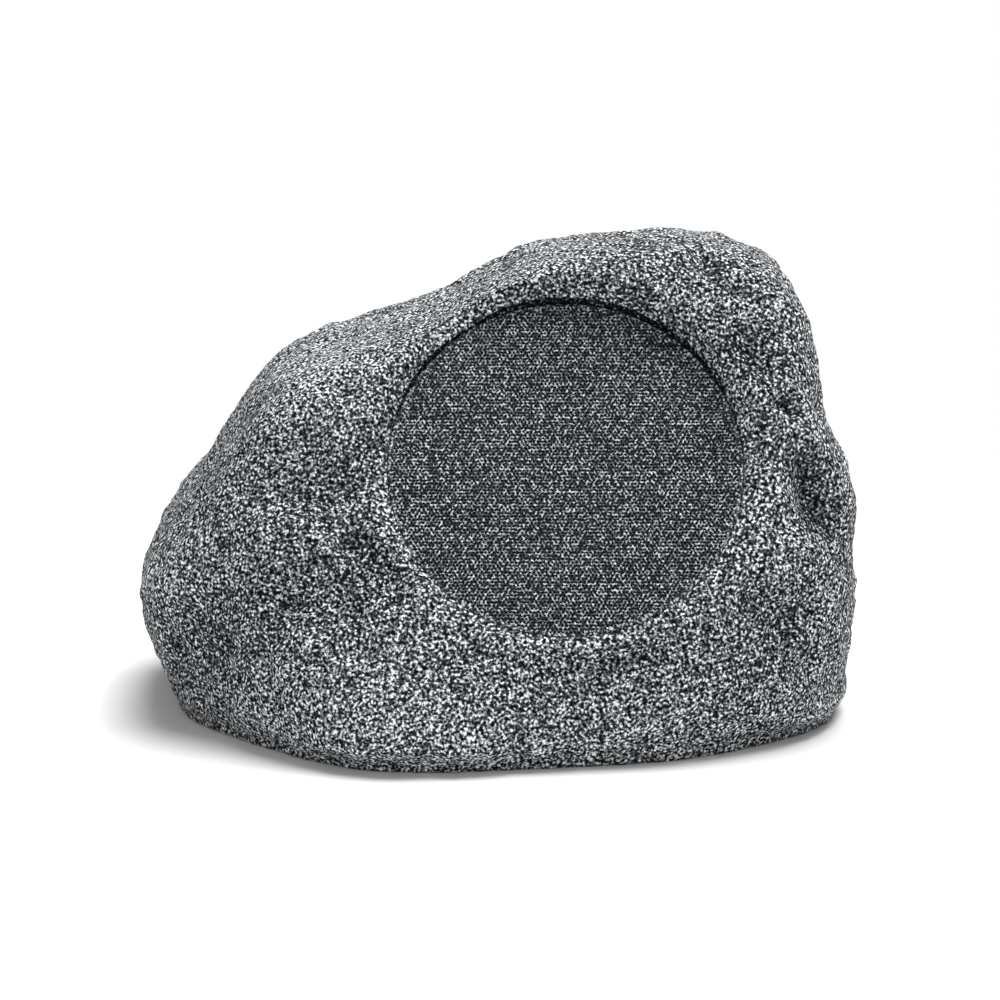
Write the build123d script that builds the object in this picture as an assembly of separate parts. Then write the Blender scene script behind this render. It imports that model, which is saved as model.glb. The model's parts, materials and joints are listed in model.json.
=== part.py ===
from build123d import *
import math
import os
import numpy as np

# Stone: overall size and wall
STONE_WIDTH = 370.0
STONE_DEPTH = 296.0
STONE_HEIGHT = 247.0
WALL = 5.0
# Each face of the stone: bearing from the front towards the right, rise above level,
# and distance from the heart. They give the proportions; the size comes from above.
FACES = [
    # front: the sloping face that carries the loudspeaker, the foot below it, two flanks
    (0, 27, 119), (6, -2, 153), (-40, 12, 168), (38, 8, 180),
    # left: long slope up to the crown
    (-90, -6, 199), (-88, 30, 164), (-85, 64, 137),
    # right: steep side
    (90, -6, 187), (92, 17, 186),
    # back
    (180, 2, 152), (178, 38, 146), (138, 14, 178), (-138, 18, 170),
    # crown
    (86, 80, 184),
    # foot, turned under all round
    (-90, -32, 184), (90, -26, 198), (6, -34, 165), (180, -34, 156),
    (-45, -30, 172), (45, -30, 178), (135, -30, 186), (-135, -30, 180),
]
# Grooves (above zero) and ridges (below zero) that run from front to back,
# in order over the stone from the left: across and up from the heart, spread and amount
GROOVES = [
    (-170, -62, 16, -0.008), (-157, 52, 24, 0.024), (-119, 104, 13, -0.022), (-72, 130, 20, 0.026),
    (-32, 145, 17, 0.052), (45, 172, 24, 0.022),
    (172, 100, 20, 0.036), (192, 35, 14, -0.012), (188, -2, 18, 0.018),
]
# Hollows (above zero) and swells (below zero) round the loudspeaker's recess:
# place from the heart, spread and amount
HOLLOWS = [
    (-66, -95, 65, 24, 0.06), (106, -54, 125, 24, 0.03), (136, -92, 65, 22, 0.03),
    (46, -138, -20, 26, -0.03),
]
HEART_UP = 75.0
EDGE_SHARPNESS = 14
LOWEST_TILT = -22.5
SECTION_POINTS = 40
LEVELS_BELOW = 6
LEVELS_ABOVE = 11
CROWN_RING = 87.0
HALVINGS = 40

# Recess for the loudspeaker: place on the stone as shares of its width and height,
# backward tilt, depth of the grille under the stone, draft of its wall
FACE_ACROSS = 0.094
FACE_UP = 0.591
FACE_TILT = 32.0
RECESS_DEPTH = 12.0
RECESS_DRAFT = 8.0
BAFFLE_THICK = 8.0
PAN_GAP = 2.5
SHOULDER_WIDTH = 4.0

# Grille: its fine perforation is drawn coarse, one hole for many
GRILLE_THICK = 1.0
GRILLE_SKIRT = 8.0
GRILLE_GAP = 0.5
GRILLE_HEADROOM = 2.6
HOLE_PITCH = 15.5
HOLE_RADIUS = 3.5
HOLE_MARGIN = 7.0
SCRIM_THICK = 0.5

# Woofer frame
FLANGE_RADIUS = 82.5
FLANGE_THICK = 3.0
FLANGE_SEAT = 9.5
FRAME_GASKET_THICK = 1.5
FRAME_SCREWS = 8
FRAME_SCREW_EDGE = 3.5
THROAT_GAP = 0.5
BASKET_WALL = 2.5
BASKET_FLOOR = 3.0
WINDOWS = 6
WINDOW_WIDTH = 34.0
WINDOW_MARGIN = 4.0
TAB_LENGTH = 16.0
TAB_WIDTH = 22.0
STRIP_THICK = 1.5
STRIP_MARGIN = 2.0
LUG_LENGTH = 9.0
LUG_WIDTH = 5.0
LUG_THICK = 0.8
LUG_INSET = 6.4

# Woofer cone, its edge, centring disc and coil
CONE_LAND = 2.5
CONE_THICK = 1.2
CONE_DEPTH = 20.0
CONE_TRAVEL = 4.0
ROLL_RADIUS = 4.2
SURROUND_THICK = 0.8
SURROUND_LAND = 3.5
CAP_RADIUS = 22.0
CAP_RISE = 7.0
CAP_THICK = 0.8
SPIDER_BELOW = 7.0
SPIDER_RADIUS = 39.0
SPIDER_LAND = 4.0
SPIDER_THICK = 0.6
SPIDER_WAVE = 1.4
SPIDER_WAVES = 4
SPIDER_STEPS = 8
SPIDER_HEADROOM = 1.6
COIL_RADIUS = 16.0
FORMER_THICK = 0.4
WINDING_THICK = 0.7
WINDING_LENGTH = 12.0
COIL_GAP = 0.5

# Woofer magnet
TOP_PLATE_RADIUS = 40.0
TOP_PLATE_THICK = 6.0
MAGNET_RADIUS = 45.0
MAGNET_HOLE = 24.0
MAGNET_THICK = 15.0
YOKE_RADIUS = 41.0
YOKE_THICK = 5.0
YOKE_VENT = 5.0

# Tweeter on its bridge
BRIDGE_WIDTH = 16.0
BRIDGE_THICK = 2.5
BRIDGE_HEADROOM = 0.8
HUB_LAND = 4.0
CUP_WALL = 1.5
CUP_ROOM = 2.5
POT_RADIUS = 16.0
POT_WALL = 3.0
POT_FLOOR_THICK = 2.5
POT_HEIGHT = 11.5
TWEETER_MAGNET_RADIUS = 10.5
TWEETER_MAGNET_THICK = 4.5
POLE_THICK = 3.0
TWEETER_GAP = 0.4
TWEETER_COIL_THICK = 0.4
TWEETER_COIL_LENGTH = 8.5
DOME_RISE = 4.0
DOME_THICK = 0.4
DOME_ROLL = 2.2
FACE_RING_THICK = 2.0

# Bottom closure
RIM = 6.5
LEDGE_WIDTH = 12.0
LEDGE_THICK = 5.0
BASE_UP = 3.0
BASE_THICK = 4.0
BASE_GASKET_THICK = 1.5
BASE_SCREWS = 8
BASE_BOSS_RADIUS = 5.0
BASE_BOSS_HEIGHT = 9.0
BASE_PILOT_END = 2.5
FIT_GAP = 0.5

# Screws: thread radius, length under the head, head radius and head height
FRAME_SCREW = (1.9, 11.0, 3.4, 2.4)
BASE_SCREW = (1.9, 14.0, 3.8, 2.2)
BRIDGE_SCREW = (1.4, 5.0, 2.7, 1.8)
BOARD_SCREW = (1.4, 7.0, 2.7, 1.8)
HOLE_SLACK = 0.3
THREAD_SLACK = 0.05
DRIVE_DEPTH = 1.2
# Cross in the head: its span and its blades' width, as shares of the head's radius
DRIVE_SPAN = 1.1
DRIVE_BLADE = 0.25

# Crossover board on the base plate, and the parts on it
BOARD_X = -45.0
BOARD_FROM_BACK = 76.0
BOARD_LENGTH = 84.0
BOARD_WIDTH = 56.0
BOARD_THICK = 1.6
STANDOFF_HEIGHT = 9.0
STANDOFF_RADIUS = 4.0
STANDOFF_INSET = 5.0
BOBBIN_X = -20.0
BOBBIN_Y = 2.0
BOBBIN_RADIUS = 15.0
BOBBIN_HEIGHT = 20.0
BOBBIN_CORE = 7.0
BOBBIN_FLANGE = 1.5
BOBBIN_HOLE = 4.0
WINDING_EDGE = 1.5
CAPACITOR_X = 18.0
CAPACITOR_Y = -15.0
CAPACITOR_RADIUS = 6.5
CAPACITOR_LENGTH = 26.0
RESISTOR_X = 14.0
RESISTOR_Y = 0.0
RESISTOR_LENGTH = 22.0
RESISTOR_WIDTH = 7.0
TERMINAL_X = 20.0
TERMINAL_Y = 17.0
TERMINAL_LENGTH = 18.0
TERMINAL_WIDTH = 11.0
TERMINAL_HEIGHT = 12.0
TERMINAL_HOLE = 2.2

# Cable gland in a pocket low in the back
GLAND_X = 55.0
GLAND_UP = 42.0
POCKET_FLOOR = 6.0
POCKET_COVER = 3.0
POCKET_ROOM = 6.5
CABLE_BORE = 3.25
SPIGOT_RADIUS = 6.0
SPIGOT_END = 2.0
GLAND_HEX = 18.0
GLAND_FLANGE = 4.0
GLAND_NECK_RADIUS = 7.0
GLAND_NECK_LENGTH = 8.0
GLAND_NUT_WALL = 3.5
LOCKNUT_THICK = 5.0
WASHER_THICK = 1.5
SEAL_LENGTH = 6.0
SEAL_WALL = 2.0

# Inner leads: radius, spacing, and how far they rise off the board
LEAD_RADIUS = 0.9
LEAD_APART = 5.0
LEAD_BEND = 2.2
WOOFER_LEAD_BEND = 8.8
LEAD_LIFT = 0.8
LEAD_RISE = 26.0
WOOFER_PAD_X = -36.0
WOOFER_PAD_Y = -8.0
TWEETER_PAD_X = -36.0
TWEETER_PAD_Y = 10.0

# Worked out: radii about the loudspeaker's axis
PAN_RADIUS = FLANGE_RADIUS + PAN_GAP
RECESS_RADIUS = PAN_RADIUS + SHOULDER_WIDTH
GRILLE_RADIUS = RECESS_RADIUS - GRILLE_GAP
CUTOUT_RADIUS = FLANGE_RADIUS - FLANGE_SEAT
FRAME_SCREW_CIRCLE = FLANGE_RADIUS - FRAME_SCREW_EDGE
THROAT_RADIUS = CUTOUT_RADIUS - THROAT_GAP
FLANGE_OPENING = THROAT_RADIUS - BASKET_WALL
CONE_RADIUS = FLANGE_OPENING - 2 * ROLL_RADIUS
SURROUND_RADIUS = FLANGE_OPENING + SURROUND_LAND
SHELF_RADIUS = SPIDER_RADIUS + FIT_GAP
SHELF_OPENING = SPIDER_RADIUS - SPIDER_LAND
BASKET_RADIUS = SHELF_RADIUS + BASKET_WALL
WINDING_RADIUS = COIL_RADIUS + WINDING_THICK
LEG_RADIUS = SURROUND_RADIUS + FIT_GAP
CUP_INSIDE = POT_RADIUS + CUP_ROOM
CUP_RADIUS = CUP_INSIDE + CUP_WALL
HUB_RADIUS = CUP_RADIUS + HUB_LAND
TWEETER_COIL_RADIUS = POT_RADIUS - POT_WALL - TWEETER_GAP
LEAD_CIRCLE = (FLANGE_RADIUS + PAN_RADIUS) / 2

# Worked out: heights along the loudspeaker's axis, from the baffle
FRAME_LOW = FRAME_GASKET_THICK
FRAME_HIGH = FRAME_LOW + FLANGE_THICK
FOOT_HIGH = FRAME_HIGH + BRIDGE_THICK
BRIDGE_LOW = FRAME_HIGH + ROLL_RADIUS + CONE_TRAVEL + BRIDGE_HEADROOM
BRIDGE_HIGH = BRIDGE_LOW + BRIDGE_THICK
CUP_HIGH = BRIDGE_HIGH + CUP_WALL
POT_LOW = CUP_HIGH - TWEETER_GAP - DOME_RISE - POT_HEIGHT
POT_FLOOR = POT_LOW + POT_FLOOR_THICK
POLE_LOW = POT_FLOOR + TWEETER_MAGNET_THICK
DOME_HIGH = CUP_HIGH + DOME_THICK + DOME_RISE
GRILLE_BACK = DOME_HIGH + GRILLE_HEADROOM + SCRIM_THICK
GRILLE_FRONT = GRILLE_BACK + GRILLE_THICK
GRILLE_SHOULDER = GRILLE_BACK - GRILLE_SKIRT
SHELF = -CONE_DEPTH - SPIDER_BELOW
FLOOR_HIGH = SHELF - SPIDER_WAVE - CONE_TRAVEL - SPIDER_HEADROOM
FLOOR_LOW = FLOOR_HIGH - BASKET_FLOOR
PLATE_LOW = FLOOR_LOW - TOP_PLATE_THICK
MAGNET_LOW = PLATE_LOW - MAGNET_THICK
WINDING_LOW = (FLOOR_LOW + PLATE_LOW - WINDING_LENGTH) / 2
STRIP_HIGH = FLOOR_LOW
STRIP_LOW = STRIP_HIGH - STRIP_THICK

# Worked out: the board's place, and heights above the floor
BOARD_Y = STONE_DEPTH / 2 - BOARD_FROM_BACK
LEDGE_LOW = BASE_UP + BASE_THICK + BASE_GASKET_THICK
LEDGE_HIGH = LEDGE_LOW + LEDGE_THICK
BOARD_LOW = BASE_UP + BASE_THICK + STANDOFF_HEIGHT
BOARD_HIGH = BOARD_LOW + BOARD_THICK

# Worked out: heights along the gland's axis, from the floor of its pocket
GLAND_FLANGE_HIGH = WASHER_THICK + GLAND_FLANGE
GLAND_NECK_HIGH = GLAND_FLANGE_HIGH + GLAND_NECK_LENGTH
GLAND_NUT_HIGH = GLAND_NECK_HIGH + GLAND_NUT_WALL
GLAND_NUT_RADIUS = GLAND_NECK_RADIUS + GLAND_NUT_WALL
POCKET_DEPTH = GLAND_NUT_HIGH + POCKET_COVER
POCKET_RADIUS = GLAND_HEX / math.sqrt(3) + POCKET_ROOM
LOCKNUT_LOW = -POCKET_FLOOR - LOCKNUT_THICK


def face_slopes():
    """Outward directions of the stone's faces, each divided by its distance from the heart."""
    bearing, rise, distance = np.array(FACES, float).T
    bearing, rise = np.radians(bearing), np.radians(rise)
    ways = np.stack([np.sin(bearing) * np.cos(rise), -np.cos(bearing) * np.cos(rise), np.sin(rise)])
    return ways / distance


SLOPES = face_slopes()


def share_out(points):
    """How far out points lie, as a share of the way to the surface, in the stone's proportions."""
    share = (np.maximum(points @ SLOPES, 0) ** EDGE_SHARPNESS).sum(-1) ** (1 / EDGE_SHARPNESS)
    dents = [(points[..., ::2] - place, spread, amount) for *place, spread, amount in GROOVES]
    dents += [(points - place, spread, amount) for *place, spread, amount in HOLLOWS]
    for apart, spread, amount in dents:
        share = share * (1 + amount * np.exp(-(apart**2).sum(-1) / (2 * spread**2)))
    return share


def along_rays(starts, ways, outside):
    """Where rays from inside the stone first meet a test that says outside."""
    near = np.zeros(len(ways))
    far = np.full(len(ways), STONE_WIDTH + STONE_DEPTH + STONE_HEIGHT)
    for _ in range(HALVINGS):
        middle = (near + far) / 2
        out = outside(starts + ways * middle[:, None])
        near, far = np.where(out, near, middle), np.where(out, middle, far)
    return starts + ways * near[:, None]


def ring_of_ways(tilt):
    """Directions all round, tilted up from level."""
    bearing = np.linspace(0, math.tau, SECTION_POINTS, endpoint=False)
    level, up = math.cos(tilt), math.sin(tilt)
    return np.stack([np.sin(bearing) * level, -np.cos(bearing) * level, np.full_like(bearing, up)], -1)


def rough_extents():
    """Lowest and highest corners of the stone in its own proportions, with its heart at zero."""
    tilts = np.linspace(math.radians(LOWEST_TILT), math.pi / 2, 2 * LEVELS_ABOVE)
    ways = np.concatenate([ring_of_ways(tilt) for tilt in tilts])
    points = along_rays(np.zeros_like(ways), ways, lambda p: share_out(p) > 1)
    return np.array([*points.min(0)[:2], -HEART_UP]), points.max(0)


ROUGH_LOW, ROUGH_HIGH = rough_extents()
STRETCH = np.array([STONE_WIDTH, STONE_DEPTH, STONE_HEIGHT]) / (ROUGH_HIGH - ROUGH_LOW)
HEART = STRETCH * np.array([*-(ROUGH_LOW + ROUGH_HIGH)[:2] / 2, HEART_UP])


def skin_share(points):
    """How far out points lie in the finished stone, as a share of the way to its surface."""
    return share_out((points - HEART) / STRETCH)


def outside_skin(points, inset):
    """True where points lie outside the surface that is an even inset under the stone's own."""
    here = skin_share(points)
    if inset == 0:
        return here > 1
    slope = np.stack([skin_share(points + way) - here for way in np.eye(3)], -1)
    return skin_share(points + inset * slope / np.linalg.norm(slope, axis=-1, keepdims=True)) > 1


def skin_row(level, tilt, inset):
    """Points round the stone on rays from its axis at one level and tilt."""
    starts = np.tile([HEART[0], HEART[1], level], (SECTION_POINTS, 1))
    return along_rays(starts, ring_of_ways(tilt), lambda points: outside_skin(points, inset))


def closed_curve(points):
    """A smooth closed curve through points, with even parameters."""
    steps = [k / len(points) for k in range(len(points) + 1)]
    return Edge.make_spline([Vector(*p) for p in points], periodic=True, parameters=steps)


def stone_solid(inset, lowest):
    """The stone, or the space inside it, from a level up to the crown."""
    levels = np.linspace(lowest, HEART[2], LEVELS_BELOW, endpoint=False)
    tilts = [*np.linspace(0, math.pi / 2, LEVELS_ABOVE, endpoint=False), math.radians(CROWN_RING)]
    rows = [skin_row(level, 0, inset) for level in levels]
    rows += [skin_row(HEART[2], tilt, inset) for tilt in tilts]
    crown = skin_row(HEART[2], math.pi / 2, inset)[0]
    return Solid.make_loft([Wire([closed_curve(row)]) for row in rows] + [Vertex(*crown)])


def surface_point(across, up, way):
    """Where a level ray from inside the stone comes out through its surface."""
    start = np.array([[across, HEART[1], up]])
    return Vector(*along_rays(start, np.array([way]), lambda points: outside_skin(points, 0))[0])


def baffle_plane():
    """Seat of the woofer's frame: its normal is the loudspeaker's axis, pointing out."""
    tilt = math.radians(FACE_TILT)
    outward = Vector(0, -math.cos(tilt), math.sin(tilt))
    front = surface_point(FACE_ACROSS * STONE_WIDTH, FACE_UP * STONE_HEIGHT, (0.0, -1.0, 0.0))
    return Plane(front - outward * (RECESS_DEPTH + GRILLE_FRONT), x_dir=(1, 0, 0), z_dir=outward)


def gland_plane():
    """Floor of the pocket for the cable gland: its normal points out of the back."""
    back = surface_point(GLAND_X, GLAND_UP, (0.0, 1.0, 0.0))
    return Plane(back - Vector(0, POCKET_DEPTH, 0), x_dir=(1, 0, 0), z_dir=(0, 1, 0))


BAFFLE = baffle_plane()
GLAND = gland_plane()


def disc(radius, low, high, hole=0.0):
    """A round plate about the axis between two heights, with a hole if one is given."""
    middle = Pos(0, 0, (low + high) / 2)
    plate = middle * Cylinder(radius, high - low)
    return plate - middle * Cylinder(hole, high - low) if hole else plate


def block(low, high):
    """A block between two corners."""
    sides = [b - a for a, b in zip(low, high)]
    return Pos(*[(a + b) / 2 for a, b in zip(low, high)]) * Box(*sides)


def turned(*points):
    """A solid turned about the axis from half its section, given as radius and height."""
    return revolve(Plane.XZ * make_face(Polyline(*points, close=True)), Axis.Z)


def hexagon(across_flats, low, high):
    """A hexagonal prism about the axis."""
    face = RegularPolygon(across_flats / 2, 6, major_radius=False)
    return extrude(Pos(0, 0, low) * face, amount=high - low)


def half_roll(middle, radius, thick, level):
    """A half-round bead about the axis, hollow underneath."""
    above = Pos(middle, level + radius) * Rectangle(4 * radius, 2 * radius)
    bead = Pos(middle, level) * (Circle(radius) - Circle(radius - thick)) & above
    return revolve(Plane.XZ * bead, Axis.Z)


def dome(radius, rise, thick, base):
    """A thin round dome on the axis, standing on a level."""
    ball = (radius**2 + rise**2) / (2 * rise)
    shell = Pos(0, 0, base + rise - ball) * (Sphere(ball) - Sphere(ball - thick))
    return shell & disc(radius, base, base + 2 * rise)


def around(count, radius, first=0.0):
    """Places evenly spaced round the axis."""
    turns = [first + math.tau * k / count for k in range(count)]
    return [(radius * math.cos(turn), radius * math.sin(turn)) for turn in turns]


def screw(size):
    """A cross-head screw down the axis, with its head's underside at zero."""
    radius, length, head_radius, head_height = size
    slot = Box(DRIVE_SPAN * head_radius, DRIVE_BLADE * head_radius, DRIVE_DEPTH)
    drive = Pos(0, 0, head_height - DRIVE_DEPTH / 2) * (slot + Rot(0, 0, 90) * slot)
    return disc(radius, -length, 0) + disc(head_radius, 0, head_height) - drive


def lead(points, bend):
    """A round lead along straight runs joined by arcs."""
    path = FilletPolyline(*points, radius=bend)
    return sweep(Plane(path @ 0, z_dir=path % 0) * Circle(LEAD_RADIUS), path=path)


def foot_edge(inset):
    """Points round the stone's foot, drawn in from its outline."""
    foot = skin_row(0, 0, 0)
    ahead = np.roll(foot, -1, 0) - np.roll(foot, 1, 0)
    outward = np.stack([ahead[:, 1], -ahead[:, 0], np.zeros(len(foot))], -1)
    return foot - inset * outward / np.linalg.norm(outward, axis=-1, keepdims=True)


def slab(inset, low, high):
    """An upright slab with the outline of the stone's foot, drawn in by an inset."""
    face = make_face(closed_curve(foot_edge(inset)))
    return extrude(Pos(0, 0, low) * face, amount=high - low)


def base_screw_places():
    """Places of the base screws, spread round the middle of the ledge."""
    edge = foot_edge(RIM + LEDGE_WIDTH / 2)
    picks = [round(k * len(edge) / BASE_SCREWS) % len(edge) for k in range(BASE_SCREWS)]
    return [tuple(edge[pick][:2]) for pick in picks]


def frame_screw_places():
    """Places of the screws that hold the woofer, clear of the bridge's feet."""
    return around(FRAME_SCREWS, FRAME_SCREW_CIRCLE, math.pi / FRAME_SCREWS)


def bridge_screw_places():
    """Places of the screws in the bridge's two feet."""
    middle = (LEG_RADIUS + BRIDGE_THICK + FLANGE_RADIUS) / 2
    return [(-middle, 0), (middle, 0)]


def lead_places():
    """Where the tweeter's two leads pass the woofer's flange."""
    across = math.sqrt(LEAD_CIRCLE**2 - LEAD_APART**2)
    return [(-across, -LEAD_APART), (-across, LEAD_APART)]


def board_corners():
    """Places of the four standoffs under the crossover board."""
    x = BOARD_LENGTH / 2 - STANDOFF_INSET
    y = BOARD_WIDTH / 2 - STANDOFF_INSET
    return [(BOARD_X + sx * x, BOARD_Y + sy * y) for sx in (-1, 1) for sy in (-1, 1)]


def rock_shell():
    """Hollow stone with the recess, the ledge for the base and the pocket for the gland."""
    far = STONE_DEPTH
    pan = BAFFLE * disc(RECESS_RADIUS + WALL, -BAFFLE_THICK, far)
    gland_boss = GLAND * disc(POCKET_RADIUS + WALL, -POCKET_FLOOR, far)
    base_boss = disc(BASE_BOSS_RADIUS, LEDGE_LOW, LEDGE_HIGH + BASE_BOSS_HEIGHT)
    bosses = [Pos(x, y) * base_boss for x, y in base_screw_places()]
    space = stone_solid(WALL, LEDGE_HIGH) - [pan, gland_boss, *bosses]
    base_seat = slab(RIM, -BASE_UP, LEDGE_LOW)
    base_mouth = slab(RIM + LEDGE_WIDTH, 0, LEDGE_HIGH + WALL)
    shell = stone_solid(0, 0) - [space, base_seat, base_mouth]
    flare = (far - GRILLE_FRONT) * math.tan(math.radians(RECESS_DRAFT))
    recess = turned(
        (0, -2 * BAFFLE_THICK), (CUTOUT_RADIUS, -2 * BAFFLE_THICK), (CUTOUT_RADIUS, 0),
        (PAN_RADIUS, 0), (PAN_RADIUS, GRILLE_SHOULDER), (RECESS_RADIUS, GRILLE_SHOULDER),
        (RECESS_RADIUS, GRILLE_FRONT), (RECESS_RADIUS + flare, far), (0, far),
    )
    frame_pilot = disc(FRAME_SCREW[0] + THREAD_SLACK, -2 * BAFFLE_THICK, BAFFLE_THICK)
    lead_hole = disc(LEAD_RADIUS + HOLE_SLACK, -2 * BAFFLE_THICK, BAFFLE_THICK)
    pilot_high = LEDGE_HIGH + BASE_BOSS_HEIGHT - BASE_PILOT_END
    base_pilot = disc(BASE_SCREW[0] + THREAD_SLACK, 0, pilot_high)
    cuts = [BAFFLE * recess]
    cuts += [BAFFLE * Pos(x, y) * frame_pilot for x, y in frame_screw_places()]
    cuts += [BAFFLE * Pos(x, y) * lead_hole for x, y in lead_places()]
    cuts += [Pos(x, y) * base_pilot for x, y in base_screw_places()]
    cuts += [
        GLAND * disc(POCKET_RADIUS, 0, far),
        GLAND * disc(SPIGOT_RADIUS + HOLE_SLACK, -2 * POCKET_FLOOR, POCKET_FLOOR),
    ]
    return shell - cuts


def grille_hole_places():
    """A staggered pattern of holes inside the grille's plain margin."""
    limit = GRILLE_RADIUS - HOLE_MARGIN - HOLE_RADIUS
    row_step = HOLE_PITCH * math.sqrt(3) / 2
    rows = int(limit / row_step)
    columns = int(limit / HOLE_PITCH) + 1
    places = [
        ((i + 0.5 * (j % 2)) * HOLE_PITCH, j * row_step)
        for j in range(-rows, rows + 1)
        for i in range(-columns, columns + 1)
    ]
    return [place for place in places if math.hypot(*place) <= limit]


def grille():
    """Perforated sheet with its edge turned back to stand on the shoulder of the recess."""
    inside = GRILLE_RADIUS - GRILLE_THICK
    sheet = turned(
        (0, GRILLE_BACK), (inside, GRILLE_BACK), (inside, GRILLE_SHOULDER),
        (GRILLE_RADIUS, GRILLE_SHOULDER), (GRILLE_RADIUS, GRILLE_BACK), (inside, GRILLE_FRONT),
        (0, GRILLE_FRONT),
    )
    hole = disc(HOLE_RADIUS, GRILLE_BACK - GRILLE_THICK, GRILLE_FRONT + GRILLE_THICK)
    return BAFFLE * (sheet - [Pos(x, y) * hole for x, y in grille_hole_places()])


def grille_scrim():
    """Cloth behind the grille."""
    return BAFFLE * disc(GRILLE_RADIUS - GRILLE_THICK - FIT_GAP, GRILLE_BACK - SCRIM_THICK, GRILLE_BACK)


def woofer_gasket():
    """Foam ring under the woofer's flange."""
    ring = disc(FLANGE_RADIUS - FIT_GAP, 0, FRAME_LOW, CUTOUT_RADIUS + FIT_GAP)
    hole = disc(FRAME_SCREW[0] + HOLE_SLACK, 0, FRAME_LOW)
    return BAFFLE * (ring - [Pos(x, y) * hole for x, y in frame_screw_places()])


def woofer_basket():
    """Frame of the woofer: flange, ribs between windows, shelf for the centring disc, floor."""
    slope_low = SHELF + BASKET_WALL
    body = turned(
        (FLANGE_RADIUS, FRAME_LOW), (FLANGE_RADIUS, FRAME_HIGH), (FLANGE_OPENING, FRAME_HIGH),
        (FLANGE_OPENING, FRAME_LOW), (SHELF_RADIUS, slope_low), (SHELF_RADIUS, SHELF),
        (SHELF_OPENING, SHELF), (SHELF_OPENING, FLOOR_HIGH), (WINDING_RADIUS + 2 * COIL_GAP, FLOOR_HIGH),
        (WINDING_RADIUS + 2 * COIL_GAP, FLOOR_LOW), (BASKET_RADIUS, FLOOR_LOW),
        (BASKET_RADIUS, slope_low - BASKET_WALL), (THROAT_RADIUS, FRAME_LOW - BASKET_WALL),
        (THROAT_RADIUS, FRAME_LOW),
    )
    tab = block(
        (-BASKET_RADIUS - TAB_LENGTH, -TAB_WIDTH / 2, FLOOR_LOW),
        (-SHELF_RADIUS, TAB_WIDTH / 2, FLOOR_LOW + BASKET_FLOOR),
    )
    window = block(
        (SHELF_RADIUS, -WINDOW_WIDTH / 2, slope_low + WINDOW_MARGIN),
        (FLANGE_RADIUS, WINDOW_WIDTH / 2, -WINDOW_MARGIN),
    )
    frame_hole = disc(FRAME_SCREW[0] + HOLE_SLACK, FRAME_LOW, FRAME_HIGH)
    bridge_hole = disc(BRIDGE_SCREW[0] + THREAD_SLACK, FRAME_LOW, FRAME_HIGH)
    cuts = [Rot(0, 0, 360 * k / WINDOWS) * window for k in range(WINDOWS)]
    cuts += [Pos(x, y) * frame_hole for x, y in frame_screw_places()]
    cuts += [Pos(x, y) * bridge_hole for x, y in bridge_screw_places()]
    return BAFFLE * (body + tab - cuts)


def woofer_screws():
    """Screws through the flange and gasket into the baffle."""
    one = Pos(0, 0, FRAME_HIGH) * screw(FRAME_SCREW)
    return [BAFFLE * Pos(x, y) * one for x, y in frame_screw_places()]


def woofer_surround():
    """Rubber half-roll that joins the cone's edge to the flange."""
    middle = (CONE_RADIUS + FLANGE_OPENING) / 2
    high = FRAME_HIGH + SURROUND_THICK
    inner_land = disc(CONE_RADIUS + SURROUND_THICK, FRAME_HIGH, high, CONE_RADIUS - CONE_LAND)
    outer_land = disc(SURROUND_RADIUS, FRAME_HIGH, high, FLANGE_OPENING - SURROUND_THICK)
    roll = half_roll(middle, ROLL_RADIUS, SURROUND_THICK, FRAME_HIGH)
    return BAFFLE * (roll + inner_land + outer_land)


def cone_height(radius):
    """Height of the cone's front face at a radius."""
    land = CONE_RADIUS - CONE_LAND
    neck_high = CONE_THICK - CONE_DEPTH
    return neck_high + (FRAME_HIGH - neck_high) * (radius - COIL_RADIUS) / (land - COIL_RADIUS)


def woofer_cone():
    """Cone with a flat land for its edge and a neck on the coil's former."""
    land = CONE_RADIUS - CONE_LAND
    neck = cone_height(COIL_RADIUS)
    return BAFFLE * turned(
        (CONE_RADIUS, FRAME_HIGH), (land, FRAME_HIGH), (COIL_RADIUS, neck),
        (COIL_RADIUS, neck - CONE_THICK), (land, FRAME_HIGH - CONE_THICK),
        (CONE_RADIUS, FRAME_HIGH - CONE_THICK),
    )


def woofer_dust_cap():
    """Dome that closes the middle of the cone."""
    return BAFFLE * dome(CAP_RADIUS, CAP_RISE, CAP_THICK, cone_height(CAP_RADIUS))


def voice_coil_former():
    """Thin tube that carries the coil."""
    low = WINDING_LOW - FORMER_THICK
    return BAFFLE * disc(COIL_RADIUS, low, cone_height(COIL_RADIUS), COIL_RADIUS - FORMER_THICK)


def voice_coil_winding():
    """Copper coil in the magnet's gap."""
    return BAFFLE * disc(WINDING_RADIUS, WINDING_LOW, WINDING_LOW + WINDING_LENGTH, COIL_RADIUS)


def woofer_spider():
    """Corrugated cloth disc that centres the coil."""
    first = COIL_RADIUS + SPIDER_LAND / 2
    count = SPIDER_STEPS * SPIDER_WAVES
    steps = [k / count for k in range(count + 1)]
    middle = [
        (first + (SHELF_OPENING - first) * s, SHELF + SPIDER_WAVE * math.sin(math.tau * SPIDER_WAVES * s))
        for s in steps
    ]
    low = [(COIL_RADIUS, SHELF), *middle, (SPIDER_RADIUS, SHELF)]
    high = [(radius, height + SPIDER_THICK) for radius, height in reversed(low)]
    return BAFFLE * turned(*low, *high)


def woofer_top_plate():
    """Steel plate on the front of the magnet."""
    return BAFFLE * disc(TOP_PLATE_RADIUS, PLATE_LOW, FLOOR_LOW, WINDING_RADIUS + COIL_GAP)


def woofer_magnet():
    """Ferrite ring."""
    return BAFFLE * disc(MAGNET_RADIUS, MAGNET_LOW, PLATE_LOW, MAGNET_HOLE)


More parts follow.
